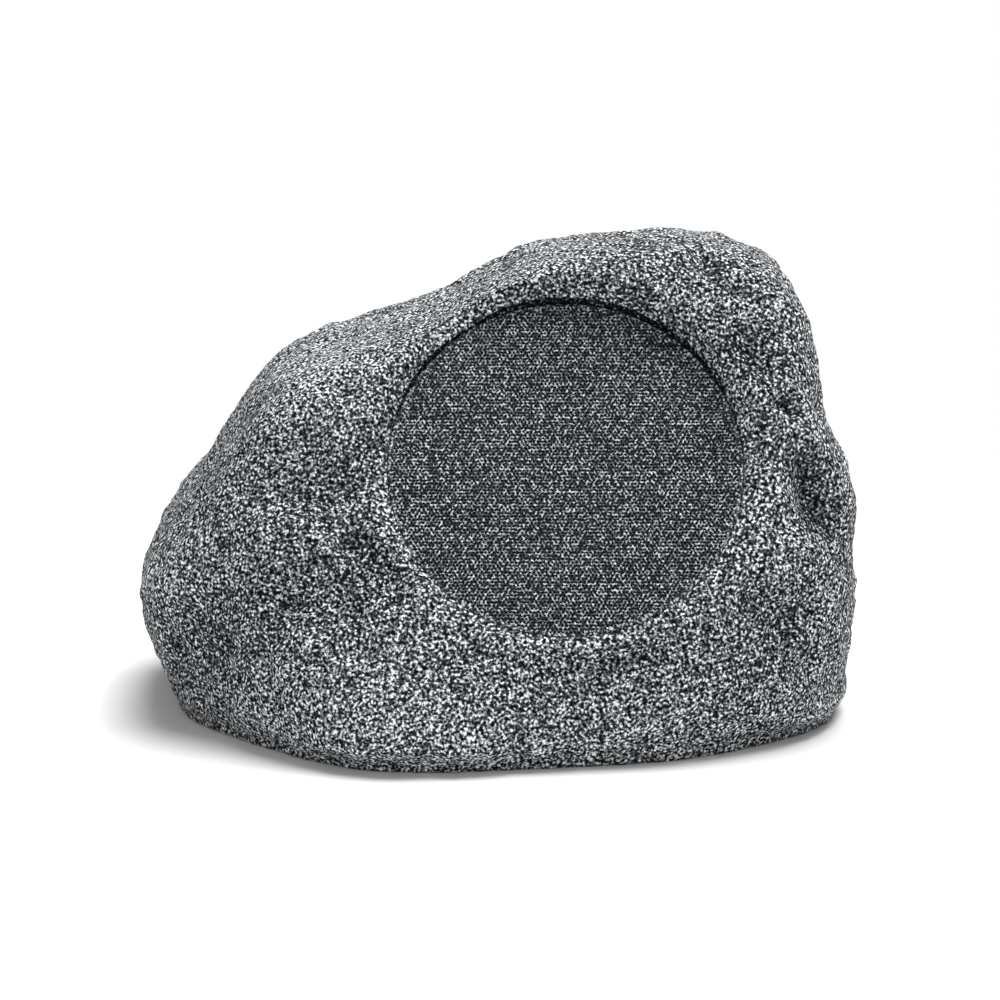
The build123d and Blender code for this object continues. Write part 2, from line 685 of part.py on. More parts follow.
def woofer_pole_yoke():
    """Back plate with the pole that stands in the coil."""
    pole = COIL_RADIUS - FORMER_THICK - COIL_GAP
    plate = disc(YOKE_RADIUS, MAGNET_LOW - YOKE_THICK, MAGNET_LOW)
    solid = plate + disc(pole, MAGNET_LOW, FLOOR_LOW)
    return BAFFLE * (solid - disc(YOKE_VENT, MAGNET_LOW - YOKE_THICK, FLOOR_LOW))


def lug_places():
    """Where the two terminal lugs stand on their strip."""
    across = -BASKET_RADIUS - TAB_LENGTH + LUG_INSET
    return [(across, -LEAD_APART), (across, LEAD_APART)]


def woofer_terminal_strip():
    """Fibre strip on the frame's tab."""
    return BAFFLE * block(
        (-BASKET_RADIUS - TAB_LENGTH, -TAB_WIDTH / 2, STRIP_LOW),
        (-MAGNET_RADIUS - STRIP_MARGIN, TAB_WIDTH / 2, STRIP_HIGH),
    )


def woofer_terminal_lugs():
    """Flat blades that take the leads."""
    blade = Pos(0, 0, STRIP_LOW - LUG_LENGTH / 2) * Box(LUG_THICK, LUG_WIDTH, LUG_LENGTH)
    return [BAFFLE * Pos(x, y) * blade for x, y in lug_places()]


def tweeter_bridge():
    """Bar over the cone that carries the tweeter, with a foot at each end."""
    half = BRIDGE_WIDTH / 2
    out = LEG_RADIUS + BRIDGE_THICK
    bar = block((-out, -half, BRIDGE_LOW), (out, half, BRIDGE_HIGH))
    bar += disc(HUB_RADIUS, BRIDGE_LOW, BRIDGE_HIGH)
    leg = block((LEG_RADIUS, -half, FRAME_HIGH), (out, half, BRIDGE_HIGH))
    foot = block((LEG_RADIUS, -half, FRAME_HIGH), (FLANGE_RADIUS, half, FOOT_HIGH))
    hole = disc(BRIDGE_SCREW[0] + HOLE_SLACK, FRAME_HIGH, FOOT_HIGH)
    ends = [Rot(0, 0, turn) * piece for turn in (0, 180) for piece in (leg, foot)]
    cuts = [disc(CUP_RADIUS + HOLE_SLACK, BRIDGE_LOW, BRIDGE_HIGH)]
    cuts += [Pos(x, y) * hole for x, y in bridge_screw_places()]
    return BAFFLE * (bar + ends - cuts)


def bridge_screws():
    """Screws through the bridge's feet into the frame."""
    one = Pos(0, 0, FOOT_HIGH) * screw(BRIDGE_SCREW)
    return [BAFFLE * Pos(x, y) * one for x, y in bridge_screw_places()]


def tweeter_cup():
    """Moulded cup that hangs in the bridge's hub by its flange."""
    low = POT_LOW - CUP_WALL
    return BAFFLE * turned(
        (0, low), (CUP_RADIUS, low), (CUP_RADIUS, BRIDGE_HIGH), (HUB_RADIUS, BRIDGE_HIGH),
        (HUB_RADIUS, CUP_HIGH), (CUP_INSIDE, CUP_HIGH), (CUP_INSIDE, POT_LOW), (0, POT_LOW),
    )


def tweeter_pot():
    """Steel pot round the tweeter's magnet."""
    inside = POT_RADIUS - POT_WALL
    high = POT_LOW + POT_HEIGHT
    return BAFFLE * turned(
        (0, POT_LOW), (POT_RADIUS, POT_LOW), (POT_RADIUS, high), (inside, high), (inside, POT_FLOOR),
        (0, POT_FLOOR),
    )


def tweeter_magnet():
    """Disc magnet in the pot."""
    return BAFFLE * disc(TWEETER_MAGNET_RADIUS, POT_FLOOR, POLE_LOW)


def tweeter_pole():
    """Pole plate on the magnet."""
    radius = TWEETER_COIL_RADIUS - TWEETER_COIL_THICK - TWEETER_GAP
    return BAFFLE * disc(radius, POLE_LOW, POLE_LOW + POLE_THICK)


def tweeter_coil():
    """Coil that hangs from the dome into the gap."""
    low = CUP_HIGH - TWEETER_COIL_LENGTH
    return BAFFLE * disc(TWEETER_COIL_RADIUS, low, CUP_HIGH, TWEETER_COIL_RADIUS - TWEETER_COIL_THICK)


def tweeter_dome():
    """Moulded film: dome, its rolled edge and the land under the face ring."""
    roll_middle = TWEETER_COIL_RADIUS + DOME_ROLL
    roll_out = roll_middle + DOME_ROLL
    high = CUP_HIGH + DOME_THICK
    film = dome(TWEETER_COIL_RADIUS, DOME_RISE, DOME_THICK, CUP_HIGH)
    film += disc(TWEETER_COIL_RADIUS + DOME_THICK, CUP_HIGH, high, TWEETER_COIL_RADIUS - DOME_THICK)
    film += half_roll(roll_middle, DOME_ROLL, DOME_THICK, CUP_HIGH)
    film += disc(HUB_RADIUS - FIT_GAP, CUP_HIGH, high, roll_out - DOME_THICK)
    return BAFFLE * film


def tweeter_face_ring():
    """Ring that clamps the dome's land to the cup."""
    low = CUP_HIGH + DOME_THICK
    return BAFFLE * disc(HUB_RADIUS, low, low + FACE_RING_THICK, CUP_INSIDE)


def on_board(x, y):
    """A place on top of the crossover board, from its middle."""
    return Pos(BOARD_X + x, BOARD_Y + y, BOARD_HIGH)


def crossover_board():
    """Circuit board on four standoffs."""
    x = BOARD_LENGTH / 2
    y = BOARD_WIDTH / 2
    board = block((BOARD_X - x, BOARD_Y - y, BOARD_LOW), (BOARD_X + x, BOARD_Y + y, BOARD_HIGH))
    hole = disc(BOARD_SCREW[0] + HOLE_SLACK, BOARD_LOW, BOARD_HIGH)
    return board - [Pos(*corner) * hole for corner in board_corners()]


def board_screws():
    """Screws through the board into the standoffs."""
    one = Pos(0, 0, BOARD_HIGH) * screw(BOARD_SCREW)
    return [Pos(*corner) * one for corner in board_corners()]


def inductor_bobbin():
    """Flanged former of the coil on the board."""
    spool = disc(BOBBIN_CORE, 0, BOBBIN_HEIGHT)
    spool += [
        disc(BOBBIN_RADIUS, 0, BOBBIN_FLANGE),
        disc(BOBBIN_RADIUS, BOBBIN_HEIGHT - BOBBIN_FLANGE, BOBBIN_HEIGHT),
    ]
    return on_board(BOBBIN_X, BOBBIN_Y) * (spool - disc(BOBBIN_HOLE, 0, BOBBIN_HEIGHT))


def inductor_winding():
    """Copper winding between the bobbin's flanges."""
    coil = disc(BOBBIN_RADIUS - WINDING_EDGE, BOBBIN_FLANGE, BOBBIN_HEIGHT - BOBBIN_FLANGE, BOBBIN_CORE)
    return on_board(BOBBIN_X, BOBBIN_Y) * coil


def tweeter_capacitor():
    """Film capacitor lying on the board."""
    can = Pos(0, 0, CAPACITOR_RADIUS) * Rot(0, 90, 0) * Cylinder(CAPACITOR_RADIUS, CAPACITOR_LENGTH)
    return on_board(CAPACITOR_X, CAPACITOR_Y) * can


def tweeter_resistor():
    """Cemented resistor in a square ceramic body."""
    body = Pos(0, 0, RESISTOR_WIDTH / 2) * Box(RESISTOR_LENGTH, RESISTOR_WIDTH, RESISTOR_WIDTH)
    return on_board(RESISTOR_X, RESISTOR_Y) * body


def input_terminal_block():
    """Two-way screw terminal for the cable."""
    body = Pos(0, 0, TERMINAL_HEIGHT / 2) * Box(TERMINAL_LENGTH, TERMINAL_WIDTH, TERMINAL_HEIGHT)
    bore = Rot(90, 0, 0) * Cylinder(TERMINAL_HOLE, TERMINAL_WIDTH)
    well = Pos(0, 0, TERMINAL_HEIGHT) * Cylinder(TERMINAL_HOLE, TERMINAL_HEIGHT)
    sides = (-TERMINAL_LENGTH / 4, TERMINAL_LENGTH / 4)
    cuts = [Pos(x, TERMINAL_WIDTH / 2, TERMINAL_HEIGHT / 3) * bore for x in sides]
    cuts += [Pos(x, 0, 0) * well for x in sides]
    return on_board(TERMINAL_X, TERMINAL_Y) * (body - cuts)


def rise_from_pad(x, y):
    """The last two points of a lead: above its pad and on the board."""
    pad = Vector(BOARD_X + x, BOARD_Y + y, BOARD_HIGH)
    return [pad + Vector(0, 0, LEAD_RISE), pad]


def woofer_leads():
    """Two leads from the lugs to the board."""
    leads = []
    for x, y in lug_places():
        low = STRIP_LOW - LUG_LENGTH
        start = [BAFFLE.from_local_coords(Vector(x, y, z)) for z in (low, low - LEAD_RISE)]
        leads.append(lead(start + rise_from_pad(WOOFER_PAD_X, WOOFER_PAD_Y + y), WOOFER_LEAD_BEND))
    return leads


def tweeter_leads():
    """Two leads along the bridge, past the flange, through the baffle and on to the board."""
    over = LEAD_RADIUS + LEAD_LIFT
    drop = -LEG_RADIUS - BRIDGE_THICK - over
    leads = []
    for x, y in lead_places():
        start = -math.sqrt(HUB_RADIUS**2 - LEAD_APART**2) - FIT_GAP / 2
        route = [
            (start, y, BRIDGE_HIGH + over), (drop, y, BRIDGE_HIGH + over), (drop, y, FOOT_HIGH + over),
            (x, y, FOOT_HIGH + over), (x, y, -BAFFLE_THICK - LEAD_RISE / 2),
        ]
        inside = [BAFFLE.from_local_coords(Vector(*point)) for point in route]
        leads.append(lead(inside + rise_from_pad(TWEETER_PAD_X, TWEETER_PAD_Y + y), LEAD_BEND))
    return leads


def base_plate():
    """Closing plate with standoffs for the board."""
    plate = slab(RIM + FIT_GAP, BASE_UP, BASE_UP + BASE_THICK)
    post = disc(STANDOFF_RADIUS, BASE_UP, BOARD_LOW)
    posts = [Pos(*corner) * post for corner in board_corners()]
    pilot = disc(BOARD_SCREW[0] + THREAD_SLACK, BASE_UP + BASE_THICK / 2, BOARD_LOW)
    hole = disc(BASE_SCREW[0] + HOLE_SLACK, BASE_UP, BASE_UP + BASE_THICK)
    cuts = [Pos(*corner) * pilot for corner in board_corners()]
    cuts += [Pos(x, y) * hole for x, y in base_screw_places()]
    return plate + posts - cuts


def base_gasket():
    """Seal between the base plate and the ledge."""
    low = BASE_UP + BASE_THICK
    ring = slab(RIM + FIT_GAP, low, LEDGE_LOW) - slab(RIM + LEDGE_WIDTH - FIT_GAP, low, LEDGE_LOW)
    hole = disc(BASE_SCREW[0] + HOLE_SLACK, low, LEDGE_LOW)
    return ring - [Pos(x, y) * hole for x, y in base_screw_places()]


def base_screws():
    """Screws up through the base plate into the shell's bosses."""
    one = Pos(0, 0, BASE_UP) * Rot(180, 0, 0) * screw(BASE_SCREW)
    return [Pos(x, y) * one for x, y in base_screw_places()]


def gland_body():
    """Gland: spigot through the wall, hexagon flange and neck with the seal's seat."""
    body = disc(SPIGOT_RADIUS, LOCKNUT_LOW - SPIGOT_END, WASHER_THICK)
    body += hexagon(GLAND_HEX, WASHER_THICK, GLAND_FLANGE_HIGH)
    body += disc(GLAND_NECK_RADIUS, GLAND_FLANGE_HIGH, GLAND_NECK_HIGH)
    body -= disc(CABLE_BORE, LOCKNUT_LOW - SPIGOT_END, GLAND_NECK_HIGH)
    return GLAND * (body - disc(CABLE_BORE + SEAL_WALL, GLAND_NECK_HIGH - SEAL_LENGTH, GLAND_NECK_HIGH))


def gland_washer():
    """Flat seal under the gland's flange."""
    return GLAND * disc(GLAND_HEX / 2, 0, WASHER_THICK, SPIGOT_RADIUS)


def gland_locknut():
    """Nut on the spigot inside the shell."""
    nut = hexagon(GLAND_HEX, LOCKNUT_LOW, -POCKET_FLOOR)
    return GLAND * (nut - disc(SPIGOT_RADIUS + THREAD_SLACK, LOCKNUT_LOW, -POCKET_FLOOR))


def gland_seal():
    """Rubber sleeve that grips the cable."""
    return GLAND * disc(CABLE_BORE + SEAL_WALL, GLAND_NECK_HIGH - SEAL_LENGTH, GLAND_NECK_HIGH, CABLE_BORE)


def gland_dome_nut():
    """Cap nut that presses on the seal."""
    low = GLAND_FLANGE_HIGH + FIT_GAP
    inside = GLAND_NECK_RADIUS + THREAD_SLACK
    rim = GLAND_NUT_RADIUS - GLAND_NUT_WALL / 2
    return GLAND * turned(
        (inside, low), (GLAND_NUT_RADIUS, low), (GLAND_NUT_RADIUS, GLAND_NECK_HIGH - GLAND_NUT_WALL / 2),
        (rim, GLAND_NUT_HIGH), (CABLE_BORE, GLAND_NUT_HIGH), (CABLE_BORE, GLAND_NECK_HIGH),
        (inside, GLAND_NECK_HIGH),
    )


PIECES = [
    rock_shell, grille, grille_scrim,
    woofer_gasket, woofer_basket, woofer_screws, woofer_surround, woofer_cone, woofer_dust_cap,
    voice_coil_former, voice_coil_winding, woofer_spider, woofer_top_plate, woofer_magnet,
    woofer_pole_yoke, woofer_terminal_strip, woofer_terminal_lugs,
    tweeter_bridge, bridge_screws, tweeter_cup, tweeter_pot, tweeter_magnet, tweeter_pole,
    tweeter_coil, tweeter_dome, tweeter_face_ring,
    crossover_board, board_screws, inductor_bobbin, inductor_winding, tweeter_capacitor,
    tweeter_resistor, input_terminal_block, woofer_leads, tweeter_leads,
    base_plate, base_gasket, base_screws,
    gland_body, gland_washer, gland_locknut, gland_seal, gland_dome_nut,
]

os.makedirs("parts", exist_ok=True)
for piece in PIECES:
    solids = piece()
    shape = Compound(solids) if isinstance(solids, list) else solids
    export_step(shape, os.path.join("parts", piece.__name__ + ".step"))
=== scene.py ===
import json
import math

import bmesh
import bpy
import numpy as np
from bpy.props import FloatProperty, PointerProperty, StringProperty
from mathutils import Matrix, Vector, noise
from mathutils.bvhtree import BVHTree
from mathutils.geometry import delaunay_2d_cdt


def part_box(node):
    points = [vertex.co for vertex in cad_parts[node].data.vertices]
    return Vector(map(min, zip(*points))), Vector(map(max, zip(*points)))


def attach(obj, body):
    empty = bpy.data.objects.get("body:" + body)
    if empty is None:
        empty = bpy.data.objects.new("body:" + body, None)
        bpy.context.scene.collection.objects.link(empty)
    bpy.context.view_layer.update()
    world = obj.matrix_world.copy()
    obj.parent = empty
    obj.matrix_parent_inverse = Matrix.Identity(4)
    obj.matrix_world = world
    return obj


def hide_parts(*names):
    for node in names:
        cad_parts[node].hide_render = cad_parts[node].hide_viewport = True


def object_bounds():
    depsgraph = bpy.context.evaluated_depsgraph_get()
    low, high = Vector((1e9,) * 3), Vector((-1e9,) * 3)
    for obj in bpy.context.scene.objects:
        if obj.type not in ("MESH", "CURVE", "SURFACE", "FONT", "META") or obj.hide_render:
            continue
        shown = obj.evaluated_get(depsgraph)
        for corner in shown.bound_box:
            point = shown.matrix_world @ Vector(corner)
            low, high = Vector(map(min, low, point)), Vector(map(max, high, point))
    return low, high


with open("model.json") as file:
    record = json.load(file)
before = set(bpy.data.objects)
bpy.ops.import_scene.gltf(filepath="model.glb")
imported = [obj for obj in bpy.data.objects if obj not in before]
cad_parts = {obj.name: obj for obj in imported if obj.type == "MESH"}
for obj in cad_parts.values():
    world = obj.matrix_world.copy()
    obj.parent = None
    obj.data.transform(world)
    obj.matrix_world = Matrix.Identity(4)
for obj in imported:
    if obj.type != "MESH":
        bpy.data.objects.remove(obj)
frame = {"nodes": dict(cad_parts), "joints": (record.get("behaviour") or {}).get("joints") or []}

bl_info = {
    "name": "Garden rock speaker",
    "version": (1, 0, 0),
    "blender": (4, 5, 0),
    "location": "View3D > Sidebar > Rock speaker",
    "description": "Dresses a rock shaped garden speaker and sets it on a studio floor",
    "category": "Object",
}

MM = 0.001
NODES = frame["nodes"]
CAD_LOW, CAD_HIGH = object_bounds()

# The loudspeaker's own axes: out of the stone, across it, and up its sloping face
OUT = np.array(frame["joints"][0]["axis"])
ACROSS = np.array([1.0, 0.0, 0.0])
UP_FACE = np.cross(OUT, ACROSS)
FACE_AXES = np.stack([ACROSS, UP_FACE, OUT])


def node_points(name):
    """Vertices of a CAD node, in metres."""
    flat = np.empty(3 * len(NODES[name].data.vertices), np.float32)
    NODES[name].data.vertices.foreach_get("co", flat)
    return flat.reshape(-1, 3).astype(float)


def face_box(name):
    """Lowest and highest corners of a CAD node along the loudspeaker's axes."""
    local = node_points(name) @ FACE_AXES.T
    return local.min(0), local.max(0)


GRILLE_LOW, GRILLE_HIGH = face_box("grille")
GRILLE_RADIUS = (GRILLE_HIGH[0] - GRILLE_LOW[0]) / 2
GRILLE_DEPTH = GRILLE_HIGH[2] - GRILLE_LOW[2]
# Middle of the grille's front, from which depths along the axis are measured
FACE_MIDDLE = np.array([*(GRILLE_LOW + GRILLE_HIGH)[:2] / 2, GRILLE_HIGH[2]]) @ FACE_AXES
BAFFLE_DEPTH = GRILLE_HIGH[2] - face_box("woofer_gasket")[0][2]
FLANGE_RADIUS = (face_box("woofer_basket")[1][0] - face_box("woofer_basket")[0][0]) / 2
LEDGE_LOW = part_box("base_gasket")[1].z
WASHER_LOW, WASHER_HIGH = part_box("gland_washer")

# Walls and seats of the case, as the CAD case has them
WALL = 5.0 * MM
GRILLE_CLEARANCE = 0.2 * MM
PAN_CLEARANCE = 2.5 * MM
BAFFLE_THICK = 8.0 * MM
BAFFLE_OPENING = 73.0 * MM
FOOT_ROUNDING = 4.0 * MM
FOOT_RIM = 6.5 * MM
LEDGE_WIDTH = 12.0 * MM
LEDGE_THICK = 5.0 * MM
POCKET_RADIUS = 16.9 * MM
POCKET_FLOOR = 6.0 * MM
BOSS_LENGTH = 17.0 * MM
SPIGOT_HOLE = 6.3 * MM
# How far the rounded edge of the foot tucks in
FOOT_TUCK = 2.0 * MM

# Recess's rim from its bottom to its top: place up the face, width of the bevel, height of the wall
# over the grille, and how far the wall is cut back under its edge, which leaves a dark line above the
# grille: real shadow in the undercut, with painted shade on the wall there too
RIM_UP = [-1.0, 0.0, 0.7, 1.0]
RIM_WIDTH = [8 * MM, 12 * MM, 10 * MM, 9 * MM]
RIM_WALL = [0.1 * MM, 0.4 * MM, 4 * MM, 5 * MM]
RIM_UNDERCUT = [0.0, 0.0, 2.5 * MM, 2.5 * MM]
# The wall's least height, its most as a share of the rim's, and how far up it the undercut is
RIM_WALL_LEAST = 0.1 * MM
RIM_WALL_SHARE = 0.7
UNDERCUT_SHARE = 0.6
# Depth of the wall's foot below the grille's front, and of the wall's inside below the rim
WALL_FOOT = 1 * MM
RIM_THICK = 1.5 * WALL
# 1 is a flat bevel and 2 a round one
RIM_CURVE = 1.5

# Mesh of the case: columns round the recess, and rows over the skin, inside it, over the rim's bevel
# and up the recess's wall to the bevel
COLUMNS = 448
SKIN_ROWS = 150
INNER_ROWS = 24
RIM_ROWS = 6
WALL_ROWS = 2
# Rows of the skin that the inside follows, from the ledge up to the rim
INNER_LOW_ROW = 120
INNER_HIGH_ROW = 2
INNER_PICKS = np.linspace(INNER_LOW_ROW, INNER_HIGH_ROW, INNER_ROWS).astype(int)
# Point inside the case from which its skin is measured
HEART = np.array([0.0, 0.0, 80.0 * MM])
# How many depths of the gland's pocket a line from that point is tried at
POCKET_TRIES = 6
# Sides of a round bar, steps of a rounded edge, and the angle from which an edge stays sharp
BAR_SIDES = 64
ROUND_TURNS = np.radians((30, 60, 90))
SHARP_ANGLE = math.radians(50)

# Grille: columns round its edge, corners of a hole, and how near two points count as one, in mm
GRILLE_COLUMNS = 192
HOLE_CORNERS = 6
NEAR = 1e-6
# What the triangulation gives: every triangle, those in the holes too
ALL_TRIANGLES = 0

# Rough relief: how fast the noise's layers weaken, how much finer each one is, and how many there are
ROUGH_FALL = 1.0
ROUGH_STEP = 2.0
ROUGH_LAYERS = 2
# The lumps' noise lies aside from the others, and is folded down from a level into ridges
LUMP_SHIFT = Vector((7, 3, 1))
LUMP_LEVEL = 0.3
# Share of the relief that is left at the foot and at the rim, and where it is whole again
FOOT_RELIEF = 0.5
FOOT_FADE = 10 * MM
RIM_RELIEF = 0.35
RIM_FADE_ROWS = 14

# The stone as it is looked at from the front: how far above level, from how many metres, and the
# point that is aimed at
FRONT_RISE = math.radians(12)
FRONT_DISTANCE = 1.7
FRONT_AIM = np.array([2.2, 0.0, 104.2]) * MM
FRONT_AXES = np.array([
    (1.0, 0.0, 0.0),
    (0.0, math.sin(FRONT_RISE), math.cos(FRONT_RISE)),
    (0.0, -math.cos(FRONT_RISE), math.sin(FRONT_RISE)),
])

# Forms worked into the stone's face, in mm from the middle of the front view:
# across, up, half length, half width, turn in degrees, height
STONE_FORMS = [
    # left slope, brow and hollow beside the grille, and the notch below them
    (-142, 45, 30, 22, 60, -5.0),
    (-108, 52, 46, 19, 10, 4.5),
    (-93, 8, 40, 15, 6, -8.0),
    (-105, -18, 26, 9, 5, 1.5),
    (-67, -26, 22, 9, -40, -5.0),
    (-92, -50, 45, 24, 12, -7.5),
    (-115, -53, 11, 7, 0, -5.0),
    # left foot: bulge over a hollow with a slit
    (-172, -44, 16, 16, 0, 3.0),
    (-155, -56, 18, 12, 30, -5.0),
    (-155, -84, 20, 16, 20, -5.0),
    (-172, -80, 12, 4, -70, -4.0),
    # flare at the foot, and the steep band under the grille
    (-36, -126, 82, 25, 0, 12.0),
    (160, -114, 32, 20, 0, 8.0),
    (66, -84, 40, 14, 8, -7.0),
    # right side: ridge beside the grille, ledge over a hollow, and pits
    (141, 8, 26, 9, 85, 3.0),
    (157, 34, 16, 7, -35, 2.5),
    (167, 1, 26, 9.5, -66, -13.0),
    (178, 42, 20, 10, -62, -4.0),
    (188, -22, 14, 14, 0, -3.0),
    (128, -52, 12, 8, 30, -4.0),
    (153, -60, 16, 11, 60, -6.0),
    (150, -84, 12, 8, -20, -3.0),
    # upper right: pits running down from the crown, and a crack below them
    (111, 121, 15, 5, -61, -5.5),
    (132, 77, 16, 6.5, -48, -9.0),
    (150, 49, 9, 3, -28, -4.5),
    # crown, and cracks along the top and the shoulder
    (70, 145, 45, 14, 0, -2.0),
    (3, 127, 8, 2.6, 5, -2.2),
    (74, 136, 8, 2.6, 5, -2.2),
    (-130, 48, 9, 2.6, 35, -2.2),
]
# How far a point faces the front where the forms have faded out, over the stone's back, and where
# they are whole
FORM_FADE = [-0.6, -0.1]

# Painted light and shade in the coat, kept at the stone's points: darker in hollows and paler on what
# stands out, by the height of the relief, with more of a form that is narrower than a width in mm and
# less of a broader one
PAINTED_SHADING_NAME = "painted_shading"
PAINTED_SHADING_WIDTH = 8
PAINTED_SHADE_DEEPEST = -9 * MM
PAINTED_LIGHT_MOST = 3 * MM
# Painted shade under the rim's edge, a dark line for the shadow there, for each metre that the wall is
# cut back, and the share of it at the wall's foot, in the undercut and on the edge
PAINTED_UNDERCUT_SHADE = 10
PAINTED_UNDERCUT_SHARES = [1, 1, 0.3]
# Cells of the coat for each chip's spacing, and how its shade changes from a cell's middle outwards
CELL_SHARE = 0.9
CELL_SHADE = -0.3

# Plain white of the surroundings and of the floor further out
WHITE = (1, 1, 1, 1)
# Stage, in metres: half the floor's side, how far out the floor begins to turn white and is white,
# and the places and widths of the two lamps
FLOOR_HALF = 20.0
WHITE_FROM = 0.25
WHITE_AT = 0.6
KEY_PLACE = Vector((0.45, 0.25, 2.4))
KEY_WIDTH = 2.0
FILL_PLACE = Vector((-0.4, -1.9, 0.7))
FILL_WIDTH = 1.2


class StoneSettings(bpy.types.PropertyGroup):
    """Relief and finish of the cast case."""

    swell_height: FloatProperty(
        name="Swell height", description="Height of the broad swells", default=2.4 * MM,
        unit="LENGTH", precision=4)
    swell_width: FloatProperty(
        name="Swell width", description="Distance between broad swells", default=70 * MM, unit="LENGTH")
    lump_height: FloatProperty(
        name="Lump height", description="Height of the lumps", default=2.8 * MM, unit="LENGTH", precision=4)
    lump_width: FloatProperty(
        name="Lump width", description="Distance between lumps", default=23 * MM, unit="LENGTH")
    pit_height: FloatProperty(
        name="Pit height", description="Height of the small pits and knobs", default=1.2 * MM,
        unit="LENGTH", precision=4)
    pit_width: FloatProperty(
        name="Pit width", description="Distance between small pits", default=10 * MM, unit="LENGTH")
    recess_draft: FloatProperty(
        name="Recess draft", description="Slope of the recess's wall", default=math.radians(8),
        subtype="ANGLE")
    dark: StringProperty(name="Dark chips", description="Colour of the darkest chips", default="#060607")
    grey: StringProperty(name="Grey chips", description="Colour of the middling chips", default="#484B4E")
    white: StringProperty(name="White chips", description="Colour of the palest chips", default="#F4F5F5")
    chip_size: FloatProperty(
        name="Chip size", description="Spacing of the stone chips in the coat", default=1.5 * MM,
        unit="LENGTH", precision=5)
    # Painted shade: the coat is drawn darker in hollows and paler on what stands out
    painted_hollow_shade: FloatProperty(
        name="Hollow shade", description="How much darker the coat is in a hollow, for each metre of depth",
        default=7.0)


class GrilleSettings(bpy.types.PropertyGroup):
    """Perforation and finish of the grille."""

    # The real holes are about 1.7 mm apart, which takes too many triangles, so they are drawn coarser
    hole_pitch: FloatProperty(
        name="Hole pitch", description="Distance between holes", default=1.98 * MM,
        unit="LENGTH", precision=5)
    hole_width: FloatProperty(
        name="Hole width", description="Width of a hole", default=1.2 * MM, unit="LENGTH", precision=5)
    margin: FloatProperty(
        name="Margin", description="Plain edge round the holes", default=0.6 * MM,
        unit="LENGTH", precision=5)
    sheet: FloatProperty(
        name="Sheet", description="Thickness of the sheet", default=0.8 * MM, unit="LENGTH", precision=5)
    edge_radius: FloatProperty(
        name="Edge radius", description="Rounding of the turned edge", default=1.0 * MM,
        unit="LENGTH", precision=5)
    dark: StringProperty(name="Dark paint", description="Colour of the ground coat", default="#1B1F21")
    white: StringProperty(name="White flecks", description="Colour of the flecks", default="#D6DADC")
    fleck_size: FloatProperty(
        name="Fleck size", description="Spacing of the paint flecks", default=1.3 * MM,
        unit="LENGTH", precision=5)


class StageSettings(bpy.types.PropertyGroup):
    """Camera, lamps and floor."""

    field: FloatProperty(
        name="Field", description="Width of the view at the aim", default=0.525, unit="LENGTH")
    sky: FloatProperty(name="Sky", description="Strength of the even light", default=0.4)
    key_power: FloatProperty(
        name="Key power", description="Power of the lamp overhead", default=100.0, unit="POWER")
    fill_power: FloatProperty(
        name="Fill power", description="Power of the lamp in front", default=4.5, unit="POWER")
    floor: StringProperty(name="Floor", description="Colour of the floor", default="#EBEBEB")


def linear(colour):
    """Linear red, green, blue and alpha of an sRGB hex value."""
    parts = [int(colour[at:at + 2], 16) / 255 for at in (1, 3, 5)]
    return [
        part / 12.92 if part <= 0.04045 else ((part + 0.055) / 1.055) ** 2.4 for part in parts
    ] + [1.0]


def node(tree, kind, inputs=None, stops=None, **settings):
    """Adds a node, sets its properties and ramp, and sets or links its inputs."""
    made = tree.nodes.new(kind)
    for name, value in settings.items():
        setattr(made, name, value)
    if stops:
        ramp = made.color_ramp.elements
        while len(ramp) < len(stops):
            ramp.new(1.0)
        for element, (place, colour) in zip(ramp, stops):
            element.position = place
            element.color = linear(colour)
    for name, value in (inputs or {}).items():
        if isinstance(value, bpy.types.NodeSocket):
            tree.links.new(value, made.inputs[name])
        else:
            made.inputs[name].default_value = value
    return made


def new_material(name, **shader):
    """A material with one shader, and its node tree, shader and object coordinates."""
    made = bpy.data.materials.new(name)
    made.use_nodes = True
    tree = made.node_tree
    tree.nodes.clear()
    values = {key.replace("_", " "): value for key, value in shader.items()}
    surface = node(tree, "ShaderNodeBsdfPrincipled", values)
    node(tree, "ShaderNodeOutputMaterial", {"Surface": surface.outputs[0]})
    place = node(tree, "ShaderNodeTexCoord").outputs["Object"]
    return made, tree, surface, place


def colour_and_bump(tree, surface, shade, stops, height, strength, distance):
    """Colours a surface by a shade, and raises it by a height."""
    colour = node(tree, "ShaderNodeValToRGB", {"Fac": shade}, stops=stops)
    bump = node(tree, "ShaderNodeBump", {"Height": height, "Strength": strength, "Distance": distance})
    tree.links.new(colour.outputs[0], surface.inputs["Base Color"])
    tree.links.new(bump.outputs[0], surface.inputs["Normal"])


